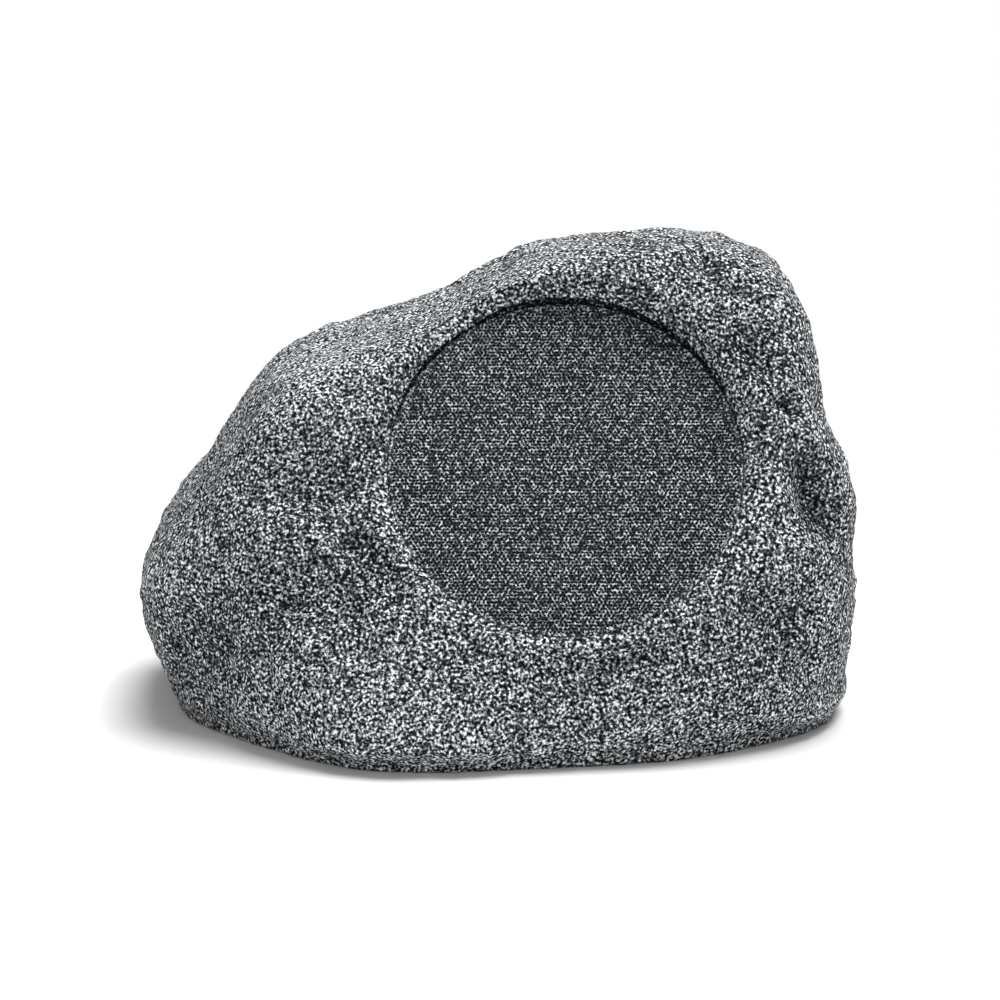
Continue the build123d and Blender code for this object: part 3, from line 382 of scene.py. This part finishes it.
def granite_coat(settings):
    """Resin case sprayed with stone chips: matt grains of black, grey and white, each a little proud."""
    made, tree, surface, place = new_material(
        "resin_sprayed_with_stone_chips", Roughness=0.9, Specular_IOR_Level=0.05)
    chips = node(
        tree, "ShaderNodeTexNoise",
        {"Vector": place, "Scale": 1 / settings.chip_size, "Detail": 1.2, "Roughness": 0.6})
    # Cells a little wider than the chips' spacing make them round, each paler towards its middle
    cells = node(tree, "ShaderNodeTexVoronoi", {"Vector": place, "Scale": CELL_SHARE / settings.chip_size})
    grains = node(
        tree, "ShaderNodeMath", {0: cells.outputs["Distance"], 1: CELL_SHADE, 2: chips.outputs["Fac"]},
        operation="MULTIPLY_ADD")
    # Painted shade darkens the coat in the hollows, and painted light makes it paler on what stands out
    painted_shading = node(tree, "ShaderNodeAttribute", attribute_name=PAINTED_SHADING_NAME)
    shade = node(
        tree, "ShaderNodeMath", {0: painted_shading.outputs["Fac"], 1: settings.painted_hollow_shade, 2: grains.outputs[0]},
        operation="MULTIPLY_ADD")
    stops = [
        (0.165, settings.dark), (0.27, "#272A2C"), (0.347, settings.grey), (0.443, "#9FA2A5"),
        (0.556, settings.white),
    ]
    colour_and_bump(tree, surface, shade.outputs[0], stops, chips.outputs["Fac"], 0.5, 0.6 * MM)
    return made


def flecked_paint(settings):
    """Steel under dark powder paint with pale flecks: low sheen, finer than the stone."""
    made, tree, surface, place = new_material(
        "steel_powder_coated_and_flecked", Roughness=0.6, Specular_IOR_Level=0.15)
    flecks = node(
        tree, "ShaderNodeTexNoise",
        {"Vector": place, "Scale": 1 / settings.fleck_size, "Detail": 1.0, "Roughness": 0.6})
    stops = [
        (0.34, "#090B0C"), (0.45, settings.dark), (0.53, "#4F5458"), (0.61, "#969C9F"),
        (0.7, settings.white),
    ]
    fleck = flecks.outputs["Fac"]
    colour_and_bump(tree, surface, fleck, stops, fleck, 0.4, 0.25 * MM)
    return made


# Finishes of the pieces kept from the CAD model: name, pattern, its spacing, dark and pale colours,
# roughness, metallic share, height of the pattern, and the pieces. Threads, wire turns and rolling
# lines finer than about 0.5 mm are drawn about that coarse, so that they show.
FINISHES = [
    # open cloth: matt black that hides the works behind the holes
    ("polyester_scrim_woven", "weave", 0.8 * MM, "#030303", "#0C0D0E", 0.95, 0, 0.15 * MM,
     ["grille_scrim"]),
    # foam and soft rubber with fine pores: dull, takes no highlights
    ("rubber_foamed_and_moulded", "cells", 0.9 * MM, "#0B0B0B", "#1E1E1E", 0.9, 0, 0.1 * MM,
     ["woofer_gasket", "woofer_surround", "base_gasket", "gland_washer", "gland_seal"]),
    # filled polymer from a spark-eroded mould: dark, with a fine even grain
    ("polymer_moulded_with_grain", "grain", 0.6 * MM, "#111112", "#242426", 0.5, 0, 0.05 * MM,
     ["woofer_basket", "tweeter_bridge", "tweeter_cup", "tweeter_face_ring", "inductor_bobbin"]),
    # thin formed sheet: smooth, softly mottled
    ("polypropylene_vacuum_formed", "grain", 3 * MM, "#19191B", "#2D2D30", 0.4, 0, 0.03 * MM,
     ["woofer_cone", "woofer_dust_cap"]),
    # rolled sheet: fine bright lines round the tube
    ("aluminium_rolled", "bands", 0.5 * MM, "#97989A", "#C6C7C9", 0.35, 1, 0.02 * MM,
     ["voice_coil_former"]),
    # turns of lacquered wire: warm bands
    ("copper_wire_wound", "bands", 0.45 * MM, "#864722", "#D28C52", 0.35, 1, 0.1 * MM,
     ["voice_coil_winding", "tweeter_coil", "inductor_winding"]),
    # resin-dipped cotton: straw coloured threads
    ("cotton_woven_and_resined", "weave", 0.7 * MM, "#8A7032", "#C4A65C", 0.85, 0, 0.1 * MM,
     ["woofer_spider"]),
    # zinc plating: pale grey with a faint cloudiness
    ("steel_zinc_plated", "grain", 1.2 * MM, "#8D8F90", "#BFC1BF", 0.35, 1, 0.02 * MM,
     ["woofer_top_plate", "woofer_pole_yoke", "woofer_terminal_lugs", "tweeter_pot", "tweeter_pole"]),
    # fired powder: dark grey and gritty
    ("ferrite_sintered", "grain", 0.8 * MM, "#29292B", "#47474A", 0.75, 0, 0.08 * MM,
     ["woofer_magnet", "tweeter_magnet"]),
    # blackened heads: dark metal, worn paler in places
    ("steel_screw_blackened", "grain", 1.5 * MM, "#303133", "#56585A", 0.4, 1, 0.02 * MM,
     ["woofer_screws", "bridge_screws", "board_screws", "base_screws"]),
    # pressed fibres: brown and fuzzy
    ("fibre_board_pressed", "grain", 0.6 * MM, "#6A401E", "#9A6632", 0.8, 0, 0.05 * MM,
     ["woofer_terminal_strip"]),
    # coated silk: dark threads with a soft sheen
    ("silk_woven_and_coated", "weave", 0.5 * MM, "#28282B", "#48484C", 0.55, 0, 0.05 * MM,
     ["tweeter_dome"]),
    # lacquered glass cloth: green, patchy and fairly shiny
    ("glass_board_lacquered", "cells", 2.5 * MM, "#0B4520", "#196C38", 0.35, 0, 0.02 * MM,
     ["crossover_board"]),
    # dipped film: amber and glossy
    ("polyester_film_dipped", "grain", 4 * MM, "#96700F", "#CA9D26", 0.2, 0, 0.03 * MM,
     ["tweeter_capacitor"]),
    # cast cement: chalky off-white
    ("cement_cast", "grain", 0.8 * MM, "#CCC8BC", "#E8E5DC", 0.85, 0, 0.05 * MM,
     ["tweeter_resistor"]),
    # moulded polyamide: satin green
    ("polyamide_moulded", "grain", 0.7 * MM, "#0E562A", "#1D8044", 0.45, 0, 0.03 * MM,
     ["input_terminal_block"]),
    # extruded sleeve: red with faint drawing marks
    ("pvc_extruded", "bands", 1.5 * MM, "#760E0E", "#AA1D1B", 0.4, 0, 0.02 * MM,
     ["woofer_leads", "tweeter_leads"]),
    # large moulded plate: black with a leathery grain
    ("polypropylene_moulded", "grain", 1.5 * MM, "#141415", "#2B2B2C", 0.6, 0, 0.08 * MM,
     ["base_plate"]),
    # moulded nylon: black with a fine grain
    ("nylon_moulded", "grain", 0.8 * MM, "#101011", "#242425", 0.5, 0, 0.04 * MM,
     ["gland_body", "gland_locknut", "gland_dome_nut"]),
]
# Texture node, its settings, its output and its own length for each pattern; the wave repeats every
# tau / 20
PATTERNS = {
    "grain": ("ShaderNodeTexNoise", {"Detail": 3.0}, "Fac", 1.0),
    "cells": ("ShaderNodeTexVoronoi", {"Randomness": 1.0}, "Distance", 1.0),
    "weave": ("ShaderNodeTexVoronoi", {"Randomness": 0.0}, "Distance", 1.0),
    "bands": ("ShaderNodeTexWave", {"Distortion": 0.4}, "Fac", math.tau / 20),
}


def patterned(name, pattern, spacing, dark, pale, roughness, metallic, height):
    """A material of two tones laid out by a pattern, which also stands proud."""
    # Rough surfaces also mirror less
    made, tree, surface, place = new_material(
        name, Roughness=roughness, Metallic=metallic, Specular_IOR_Level=1 - roughness)
    kind, inputs, output, length = PATTERNS[pattern]
    shade = node(tree, kind, {"Vector": place, "Scale": length / spacing, **inputs}).outputs[output]
    colour_and_bump(tree, surface, shade, [(0.25, dark), (0.75, pale)], shade, 0.5, height)
    return made


def paint(piece, material):
    """Gives a piece one material."""
    piece.data.materials.clear()
    piece.data.materials.append(material)


def new_piece(name, points, faces, material, body):
    """A mesh piece of the object that rides on a body."""
    mesh = bpy.data.meshes.new(name)
    mesh.from_pydata(points, [], faces)
    mesh.validate()
    mesh.update()
    piece = bpy.data.objects.new(name, mesh)
    bpy.context.scene.collection.objects.link(piece)
    paint(piece, material)
    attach(piece, body)
    return piece


def band(upper, lower, columns):
    """Faces between two closed rings of points, from the number of each ring's first point."""
    return [
        (upper + at, upper + (at + 1) % columns, lower + (at + 1) % columns, lower + at)
        for at in range(columns)
    ]


def turns_and_spokes():
    """Angles round the recess from its bottom, and the directions they point in."""
    turns = np.linspace(0, math.tau, COLUMNS, endpoint=False)
    return turns, np.outer(np.sin(turns), ACROSS) - np.outer(np.cos(turns), UP_FACE)


def first_hits(starts, ways):
    """Where rays first meet the CAD case, or not a number where they miss it."""
    points = [tuple(point) for point in node_points("rock_shell")]
    faces = [tuple(face.vertices) for face in NODES["rock_shell"].data.polygons]
    tree = BVHTree.FromPolygons(points, faces)
    hits = [tree.ray_cast(Vector(start), Vector(way))[0] for start, way in zip(starts, ways)]
    return np.array([(math.nan,) * 3 if hit is None else tuple(hit) for hit in hits])


def skin_rows():
    """Rows of points over the outside of the case, from the recess's rim to the foot."""
    turns, spokes = turns_and_spokes()
    rim_radius = GRILLE_RADIUS + GRILLE_CLEARANCE + np.interp(-np.cos(turns), RIM_UP, RIM_WIDTH)
    far = CAD_HIGH.x - CAD_LOW.x
    rim = first_hits(
        FACE_MIDDLE + spokes * rim_radius[:, None] + OUT * far / 2, np.tile(-OUT, (COLUMNS, 1)))
    level = np.stack([np.sin(turns), -np.cos(turns), np.zeros(COLUMNS)], -1)
    foot_start = np.array([HEART[0], HEART[1], FOOT_ROUNDING])
    foot = first_hits(foot_start + level * far, -level)
    # Between the two, each column turns evenly about the heart from the rim's way to the foot's
    ways = [ring / np.linalg.norm(ring, axis=-1, keepdims=True) for ring in (rim - HEART, foot - HEART)]
    turn = np.arccos((ways[0] * ways[1]).sum(-1))[:, None]
    shares = np.linspace(0, 1, SKIN_ROWS)[1:-1]
    middle = np.stack([
        (np.sin((1 - share) * turn) * ways[0] + np.sin(share * turn) * ways[1]) / np.sin(turn)
        for share in shares
    ])
    flat = middle.reshape(-1, 3)
    hits = first_hits(HEART + flat * far, -flat).reshape(middle.shape)
    reach = bridge_pocket(middle, np.linalg.norm(hits - HEART, axis=-1))
    rows = np.concatenate([rim[None], HEART + middle * reach[..., None], foot[None]])
    if np.isnan(rows).any():
        raise RuntimeError("the CAD case has a gap where its skin was looked for")
    return rows


def bridge_pocket(ways, reach):
    """Distances from the heart to the skin, carried straight over the gland's pocket."""
    axis = (WASHER_LOW + WASHER_HIGH) / 2
    clear = ~np.isnan(reach)
    # A ray that enters the pocket passes near its axis somewhere between its floor and its mouth
    for depth in np.linspace(WASHER_LOW.y, CAD_HIGH.y, POCKET_TRIES):
        crossing = HEART + ways * (depth - HEART[1]) / np.maximum(ways[..., 1:2], MM)
        apart = np.hypot(crossing[..., 0] - axis.x, crossing[..., 2] - axis.z)
        clear &= apart > POCKET_RADIUS + WALL / 2
    rows = np.arange(len(reach))
    return np.stack([np.interp(rows, rows[ok], line[ok]) for ok, line in zip(clear.T, reach.T)], -1)


def row_normals(rows):
    """Outward directions at each point of the rows."""
    along = np.gradient(rows, axis=0)
    around = np.roll(rows, -1, 1) - np.roll(rows, 1, 1)
    normals = np.cross(around, along)
    normals /= np.linalg.norm(normals, axis=-1, keepdims=True)
    outward = ((rows - HEART) * normals).sum(-1).mean() > 0
    return normals if outward else -normals


def form_heights(points, normals):
    """Heights of the forms worked into the stone, and the painted light and shade they give the coat, by
    where they are seen from the front.
    """
    seen = (points - FRONT_AIM) @ FRONT_AXES.T
    spread = FRONT_DISTANCE / (FRONT_DISTANCE - seen[:, 2]) / MM
    across, up = seen[:, 0] * spread, seen[:, 1] * spread
    heights, painted_shading_values = np.zeros((2, len(points)))
    for middle, level, length, width, turn, height in STONE_FORMS:
        cos, sin = math.cos(math.radians(turn)), math.sin(math.radians(turn))
        along = (across - middle) * cos + (up - level) * sin
        aside = (up - level) * cos - (across - middle) * sin
        form = height * MM * np.exp(-(along / length) ** 2 - (aside / width) ** 2)
        heights += form
        # Painted shade in hollows and painted light on what stands out, stronger where a form is narrow
        painted_shading_values += form * PAINTED_SHADING_WIDTH / width
    return np.stack([heights, painted_shading_values]) * np.interp(normals @ FRONT_AXES[2], FORM_FADE, [0, 1])


def rough(point, width, shift=Vector()):
    """Noise at a point, from its spacing."""
    return noise.fractal(Vector(point) / width + shift, ROUGH_FALL, ROUGH_STEP, ROUGH_LAYERS)


def relief(point):
    """Height of the stone's rough relief at a point."""
    settings = bpy.context.scene.rock_stone
    swell = rough(point, settings.swell_width)
    lump = LUMP_LEVEL - abs(rough(point, settings.lump_width, LUMP_SHIFT))
    pit = rough(point, settings.pit_width)
    return settings.swell_height * swell + settings.lump_height * lump + settings.pit_height * pit


def worked_skin(rows):
    """Rows of the skin and of the inside with the relief and the forms worked in, and the coat's painted
    light and shade.
    """
    normals = row_normals(rows)
    points = rows.reshape(-1, 3)
    heights = np.array([relief(point) for point in points])
    heights, painted_shading_values = heights + form_heights(points, normals.reshape(-1, 3))
    # The relief gets lower towards the rim of the recess and the foot, where it also stands out level
    rise = np.clip((rows[..., 2] - FOOT_ROUNDING) / FOOT_FADE, 0, 1)
    heights = heights.reshape(rows.shape[:2]) * np.interp(rise, [0, 1], [FOOT_RELIEF, 1])
    heights *= np.interp(np.arange(SKIN_ROWS), [0, RIM_FADE_ROWS], [RIM_RELIEF, 1])[:, None]
    ways = np.stack([normals[..., 0], normals[..., 1], normals[..., 2] * rise], -1)
    skin = rows + ways * heights[..., None]
    # The inside keeps its wall where the skin is sunk
    inner = rows - normals * (WALL - np.minimum(heights, 0))[..., None]
    return skin, inner, painted_shading_values


def foot_rows(edge, plain):
    """Rows under the case: rounded edge, flat rim, seat of the base and ledge."""
    ahead = np.roll(plain, -1, 0) - np.roll(plain, 1, 0)
    outward = np.stack([ahead[:, 1], -ahead[:, 0], np.zeros(COLUMNS)], -1)
    outward /= np.linalg.norm(outward, axis=-1, keepdims=True)

    def ring(line, inset, height):
        points = line - outward * inset
        points[:, 2] = height
        return points

    rounding = [
        ring(edge, FOOT_TUCK * (1 - math.cos(turn)), FOOT_ROUNDING * (1 - math.sin(turn)))
        for turn in ROUND_TURNS
    ]
    opening = FOOT_RIM + LEDGE_WIDTH
    ledge_high = LEDGE_LOW + LEDGE_THICK
    seat = [
        (FOOT_RIM, 0), (FOOT_RIM, LEDGE_LOW), (opening, LEDGE_LOW), (opening, ledge_high),
        (WALL, ledge_high),
    ]
    return rounding + [ring(plain, inset, height) for inset, height in seat]


def recess_rows(rim):
    """Rows from the inside of the case round the loudspeaker's pan and up to the rim."""
    settings = bpy.context.scene.rock_stone
    turns, spokes = turns_and_spokes()
    recess = GRILLE_RADIUS + GRILLE_CLEARANCE
    pan = FLANGE_RADIUS + PAN_CLEARANCE

    def ring(radius, height):
        return FACE_MIDDLE + spokes * np.reshape(radius, (-1, 1)) + OUT * np.reshape(height, (-1, 1))

    local = (rim - FACE_MIDDLE) @ FACE_AXES.T
    rim_radius = np.linalg.norm(local[:, :2], axis=-1)
    rim_height = local[:, 2]
    up = -np.cos(turns)
    wall_high = np.minimum(np.interp(up, RIM_UP, RIM_WALL), RIM_WALL_SHARE * rim_height)
    wall_high = np.maximum(wall_high, RIM_WALL_LEAST)
    drop = rim_height - wall_high
    wall = recess + wall_high * math.tan(settings.recess_draft)
    cut = recess + np.interp(up, RIM_UP, RIM_UNDERCUT)
    bevel = [
        ring(wall + (rim_radius - wall) * share, wall_high + drop * (1 - (1 - share) ** RIM_CURVE))
        for share in np.linspace(0, 1, RIM_ROWS, endpoint=False)
    ]
    back = -BAFFLE_DEPTH - BAFFLE_THICK
    return [
        ring(recess + WALL, rim_height - RIM_THICK), ring(recess + WALL, back),
        ring(BAFFLE_OPENING, back), ring(BAFFLE_OPENING, -BAFFLE_DEPTH), ring(pan, -BAFFLE_DEPTH),
        ring(pan, -GRILLE_DEPTH), ring(recess, -GRILLE_DEPTH), ring(recess, -WALL_FOOT),
        ring(cut, UNDERCUT_SHARE * wall_high), *bevel,
    ]


def painted_coat_shading(count, painted_shading_values):
    """Painted light and shade of the coat at each point of the case, of which the skin's come first."""
    values = np.zeros(count)
    values[:painted_shading_values.size] = np.clip(painted_shading_values, PAINTED_SHADE_DEEPEST, PAINTED_LIGHT_MOST)
    # Painted shade under the rim's edge: the coat there is darkened into a line for the shadow in the
    # undercut
    turns, _ = turns_and_spokes()
    undercut_shade = -PAINTED_UNDERCUT_SHADE * np.interp(-np.cos(turns), RIM_UP, RIM_UNDERCUT)
    first = -(RIM_ROWS + WALL_ROWS) * COLUMNS
    values[first:first + len(PAINTED_UNDERCUT_SHARES) * COLUMNS] = np.outer(PAINTED_UNDERCUT_SHARES, undercut_shade).ravel()
    return values


def gland_bar(radius, low, high):
    """A round bar along the gland's axis, for shaping the case."""
    axis = (WASHER_LOW + WASHER_HIGH) / 2
    middle = Vector((axis.x, (low + high) / 2, axis.z))
    shape = bmesh.new()
    bmesh.ops.create_cone(
        shape, cap_ends=True, segments=BAR_SIDES, radius1=radius, radius2=radius, depth=high - low,
        matrix=Matrix.Translation(middle) @ Matrix.Rotation(math.pi / 2, 4, "X"))
    mesh = bpy.data.meshes.new("bar")
    shape.to_mesh(mesh)
    shape.free()
    bar = bpy.data.objects.new("bar", mesh)
    bpy.context.scene.collection.objects.link(bar)
    return bar


def shape_pocket(piece):
    """Adds the gland's boss inside the case and sinks its pocket and hole."""
    floor = WASHER_LOW.y
    mouth = CAD_HIGH.y
    bars = [
        ("UNION", gland_bar(POCKET_RADIUS + WALL, floor - POCKET_FLOOR, floor + BOSS_LENGTH)),
        ("DIFFERENCE", gland_bar(POCKET_RADIUS, floor, mouth + WALL)),
        ("DIFFERENCE", gland_bar(SPIGOT_HOLE, floor - 2 * POCKET_FLOOR, mouth)),
    ]
    for operation, bar in bars:
        step = piece.modifiers.new("pocket", "BOOLEAN")
        step.operation = operation
        step.object = bar
    shaped = bpy.data.meshes.new_from_object(piece.evaluated_get(bpy.context.evaluated_depsgraph_get()))
    piece.modifiers.clear()
    if len(shaped.polygons) < len(piece.data.polygons):
        raise RuntimeError("the gland's pocket could not be cut")
    piece.data = shaped
    for _, bar in bars:
        bpy.data.objects.remove(bar)


class ROCK_OT_stone(bpy.types.Operator):
    """Cast case: the stone's skin with its relief, the recess and the foot"""

    bl_idname = "rock.stone"
    bl_label = "Stone case"

    def execute(self, context):
        rows = skin_rows()
        skin, inner, painted_shading_values = worked_skin(rows)
        rings = [*skin, *foot_rows(skin[-1], rows[-1]), *inner[INNER_PICKS], *recess_rows(skin[0])]
        count = len(rings)
        faces = []
        for row in range(count):
            faces += band(row * COLUMNS, (row + 1) % count * COLUMNS, COLUMNS)
        piece = new_piece(
            "stone_case", np.concatenate(rings).tolist(), faces, granite_coat(context.scene.rock_stone),
            "cabinet")
        # Painted light and shade for the coat, kept at the case's points
        painted_shading = piece.data.attributes.new(PAINTED_SHADING_NAME, "FLOAT", "POINT")
        painted_shading.data.foreach_set("value", painted_coat_shading(count * COLUMNS, painted_shading_values))
        shape_pocket(piece)
        piece.data.shade_smooth()
        piece.data.set_sharp_from_angle(angle=SHARP_ANGLE)
        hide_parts("rock_shell")
        return {"FINISHED"}


def hole_corners(settings, limit):
    """Corners and sides of the staggered six sided holes inside a radius, flat sides facing each other."""
    points, edges = [], []
    step = settings.hole_pitch * math.sqrt(3) / 2
    corner = settings.hole_width / math.sqrt(3)
    around = [(corner * math.cos(turn), corner * math.sin(turn)) for turn in np.radians(range(30, 390, 60))]
    rows = int(limit / step)
    columns = int(limit / settings.hole_pitch) + 1
    for row in range(-rows, rows + 1):
        for column in range(-columns, columns + 1):
            x = (column + row % 2 / 2) * settings.hole_pitch
            y = row * step
            if math.hypot(x, y) + corner > limit:
                continue
            first = len(points)
            points += [Vector((x + dx, y + dy)) for dx, dy in around]
            edges += [(first + at, first + (at + 1) % HOLE_CORNERS) for at in range(HOLE_CORNERS)]
    return points, edges


def sheet_triangles(points, edges, first_rim):
    """Triangles of the sheet between its holes and its rim."""
    count = len(points)
    rim = [(at, at + 1) for at in range(first_rim, count - 1)] + [(count - 1, first_rim)]
    # The triangulation works in millimetres, where its tolerance is safely small
    wide = [point / MM for point in points]
    made = delaunay_2d_cdt(wide, edges + rim, [], ALL_TRIANGLES, NEAR, False)
    if len(made[0]) != count:
        raise RuntimeError("the grille's holes overlap")
    # A triangle with all its corners on one hole lies in that hole
    return [
        tuple(face) for face in made[2]
        if max(face) >= first_rim or len({at // HOLE_CORNERS for at in face}) > 1
    ]


def edge_profile(settings, flat_radius):
    """Radii and heights of the grille's turned edge, from its face round to the inside."""
    radius = settings.edge_radius
    rounding = [
        (flat_radius + radius * math.sin(turn), radius * (math.cos(turn) - 1)) for turn in ROUND_TURNS
    ]
    inside = GRILLE_RADIUS - settings.sheet
    return rounding + [(GRILLE_RADIUS, -GRILLE_DEPTH), (inside, -GRILLE_DEPTH), (inside, -radius)]


class ROCK_OT_grille(bpy.types.Operator):
    """Perforated grille with its edge turned back"""

    bl_idname = "rock.grille"
    bl_label = "Grille"

    def execute(self, context):
        settings = context.scene.rock_grille
        flat_radius = GRILLE_RADIUS - settings.edge_radius
        points, edges = hole_corners(settings, flat_radius - settings.margin)
        first_rim = len(points)
        turns = [math.tau * at / GRILLE_COLUMNS for at in range(GRILLE_COLUMNS)]
        spokes = [(math.cos(turn), math.sin(turn)) for turn in turns]
        points += [Vector((flat_radius * x, flat_radius * y)) for x, y in spokes]
        faces = sheet_triangles(points, edges, first_rim)
        # The back of the sheet repeats its front, and the holes' walls join them
        count = len(points)
        front = np.array([(point.x, point.y, 0) for point in points])
        local = [front, front - (0, 0, settings.sheet)]
        faces += [tuple(count + at for at in reversed(face)) for face in faces]
        faces += [(end, start, count + start, count + end) for start, end in edges]
        starts = [first_rim]
        for radius, height in edge_profile(settings, flat_radius):
            starts.append(sum(map(len, local)))
            local.append(np.array([(radius * x, radius * y, height) for x, y in spokes]))
        starts.append(count + first_rim)
        for outer, inner in zip(starts, starts[1:]):
            faces += band(inner, outer, GRILLE_COLUMNS)
        placed = FACE_MIDDLE + np.concatenate(local) @ FACE_AXES
        piece = new_piece(
            "grille_sheet", placed.tolist(), faces, flecked_paint(settings), "cabinet")
        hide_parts("grille")
        return {"FINISHED"}


class ROCK_OT_inside(bpy.types.Operator):
    """Finishes of the pieces that stay as they are"""

    bl_idname = "rock.inside"
    bl_label = "Inner pieces"

    def execute(self, context):
        for *finish, names in FINISHES:
            material = patterned(*finish)
            for name in names:
                paint(NODES[name], material)
        return {"FINISHED"}


def background_rays(tree):
    """Socket that is 1 for the rays that show the background: seen straight, mirrored or through glass."""
    path = node(tree, "ShaderNodeLightPath")
    rays = path.outputs["Is Camera Ray"]
    for name in ("Is Glossy Ray", "Is Transmission Ray"):
        more = node(tree, "ShaderNodeMath", {0: rays, 1: path.outputs[name]}, operation="MAXIMUM")
        rays = more.outputs[0]
    return rays


def studio_world(scene, sky):
    """White surroundings that light the object evenly."""
    scene.world = bpy.data.worlds.new("studio")
    scene.world.use_nodes = True
    tree = scene.world.node_tree
    tree.nodes.clear()
    strength = node(
        tree, "ShaderNodeMapRange", {"Value": background_rays(tree), "To Min": sky, "To Max": 1.0})
    light = node(tree, "ShaderNodeBackground", {"Color": WHITE, "Strength": strength.outputs[0]})
    node(tree, "ShaderNodeOutputWorld", {"Surface": light.outputs[0]})


def paper_floor(scene, colour):
    """Matt paper that takes the object's shadow and turns plain white further out, so no edge shows."""
    corners = [(-1, -1), (1, -1), (1, 1), (-1, 1)]
    mesh = bpy.data.meshes.new("floor")
    mesh.from_pydata([(x * FLOOR_HALF, y * FLOOR_HALF, 0) for x, y in corners], [], [(0, 1, 2, 3)])
    floor = bpy.data.objects.new("floor", mesh)
    scene.collection.objects.link(floor)
    paper = bpy.data.materials.new("paper_floor")
    paper.use_nodes = True
    tree = paper.node_tree
    tree.nodes.clear()
    place = node(tree, "ShaderNodeNewGeometry").outputs["Position"]
    away = node(tree, "ShaderNodeVectorMath", {0: place}, operation="LENGTH")
    fade = node(
        tree, "ShaderNodeMapRange",
        {"Value": away.outputs["Value"], "From Min": WHITE_FROM, "From Max": WHITE_AT},
        interpolation_type="SMOOTHSTEP")
    seen = node(
        tree, "ShaderNodeMath", {0: fade.outputs[0], 1: background_rays(tree)}, operation="MULTIPLY")
    matt = node(tree, "ShaderNodeBsdfDiffuse", {"Color": linear(colour)})
    white = node(tree, "ShaderNodeEmission", {"Color": WHITE, "Strength": 1.0})
    mixed = node(tree, "ShaderNodeMixShader", {0: seen.outputs[0], 1: matt.outputs[0], 2: white.outputs[0]})
    node(tree, "ShaderNodeOutputMaterial", {"Surface": mixed.outputs[0]})
    paint(floor, paper)


def front_camera(scene, field):
    """The scene's camera, aimed at the stone from the front."""
    back = Vector(FRONT_AXES[2])
    view = bpy.data.cameras.new("camera")
    view.sensor_fit = "HORIZONTAL"
    view.lens = view.sensor_width * FRONT_DISTANCE / field
    camera = bpy.data.objects.new("camera", view)
    camera.location = Vector(FRONT_AIM) + back * FRONT_DISTANCE
    camera.rotation_euler = (-back).to_track_quat("-Z", "Y").to_euler()
    scene.collection.objects.link(camera)
    scene.camera = camera


def soft_lamp(scene, name, place, width, power):
    """A round soft lamp aimed at the stone."""
    light = bpy.data.lights.new(name, "AREA")
    light.shape = "DISK"
    light.size = width
    light.energy = power
    lamp = bpy.data.objects.new(name, light)
    lamp.location = place
    lamp.rotation_euler = (Vector(FRONT_AIM) - place).to_track_quat("-Z", "Y").to_euler()
    scene.collection.objects.link(lamp)


class ROCK_OT_stage(bpy.types.Operator):
    """Pale floor, soft lamps, white surroundings and the camera"""

    bl_idname = "rock.stage"
    bl_label = "Stage"

    def execute(self, context):
        scene = context.scene
        settings = scene.rock_stage
        scene.view_settings.view_transform = "Standard"
        studio_world(scene, settings.sky)
        paper_floor(scene, settings.floor)
        front_camera(scene, settings.field)
        soft_lamp(scene, "overhead", KEY_PLACE, KEY_WIDTH, settings.key_power)
        soft_lamp(scene, "front", FILL_PLACE, FILL_WIDTH, settings.fill_power)
        return {"FINISHED"}


STEPS = ["stone", "grille", "inside", "stage"]
SETTINGS = {"stone": StoneSettings, "grille": GrilleSettings, "stage": StageSettings}


class ROCK_PT_speaker(bpy.types.Panel):
    """Lists the steps, each with its settings"""

    bl_idname = "ROCK_PT_speaker"
    bl_label = "Rock speaker"
    bl_space_type = "VIEW_3D"
    bl_region_type = "UI"
    bl_category = "Rock speaker"

    def draw(self, context):
        for name in STEPS:
            self.layout.operator("rock." + name)
            if name in SETTINGS:
                for setting in SETTINGS[name].__annotations__:
                    self.layout.prop(getattr(context.scene, "rock_" + name), setting)


CLASSES = [
    *SETTINGS.values(), ROCK_OT_stone, ROCK_OT_grille, ROCK_OT_inside, ROCK_OT_stage, ROCK_PT_speaker]


def register():
    """Adds the classes and the scene's settings."""
    for kind in CLASSES:
        bpy.utils.register_class(kind)
    for name, kind in SETTINGS.items():
        setattr(bpy.types.Scene, "rock_" + name, PointerProperty(type=kind))


def unregister():
    """Takes the scene's settings and the classes away again."""
    for name in SETTINGS:
        delattr(bpy.types.Scene, "rock_" + name)
    for kind in reversed(CLASSES):
        bpy.utils.unregister_class(kind)


def main():
    """Dresses the speaker step by step."""
    register()
    for name in STEPS:
        getattr(bpy.ops.rock, name)()


if __name__ == "__main__":
    main()
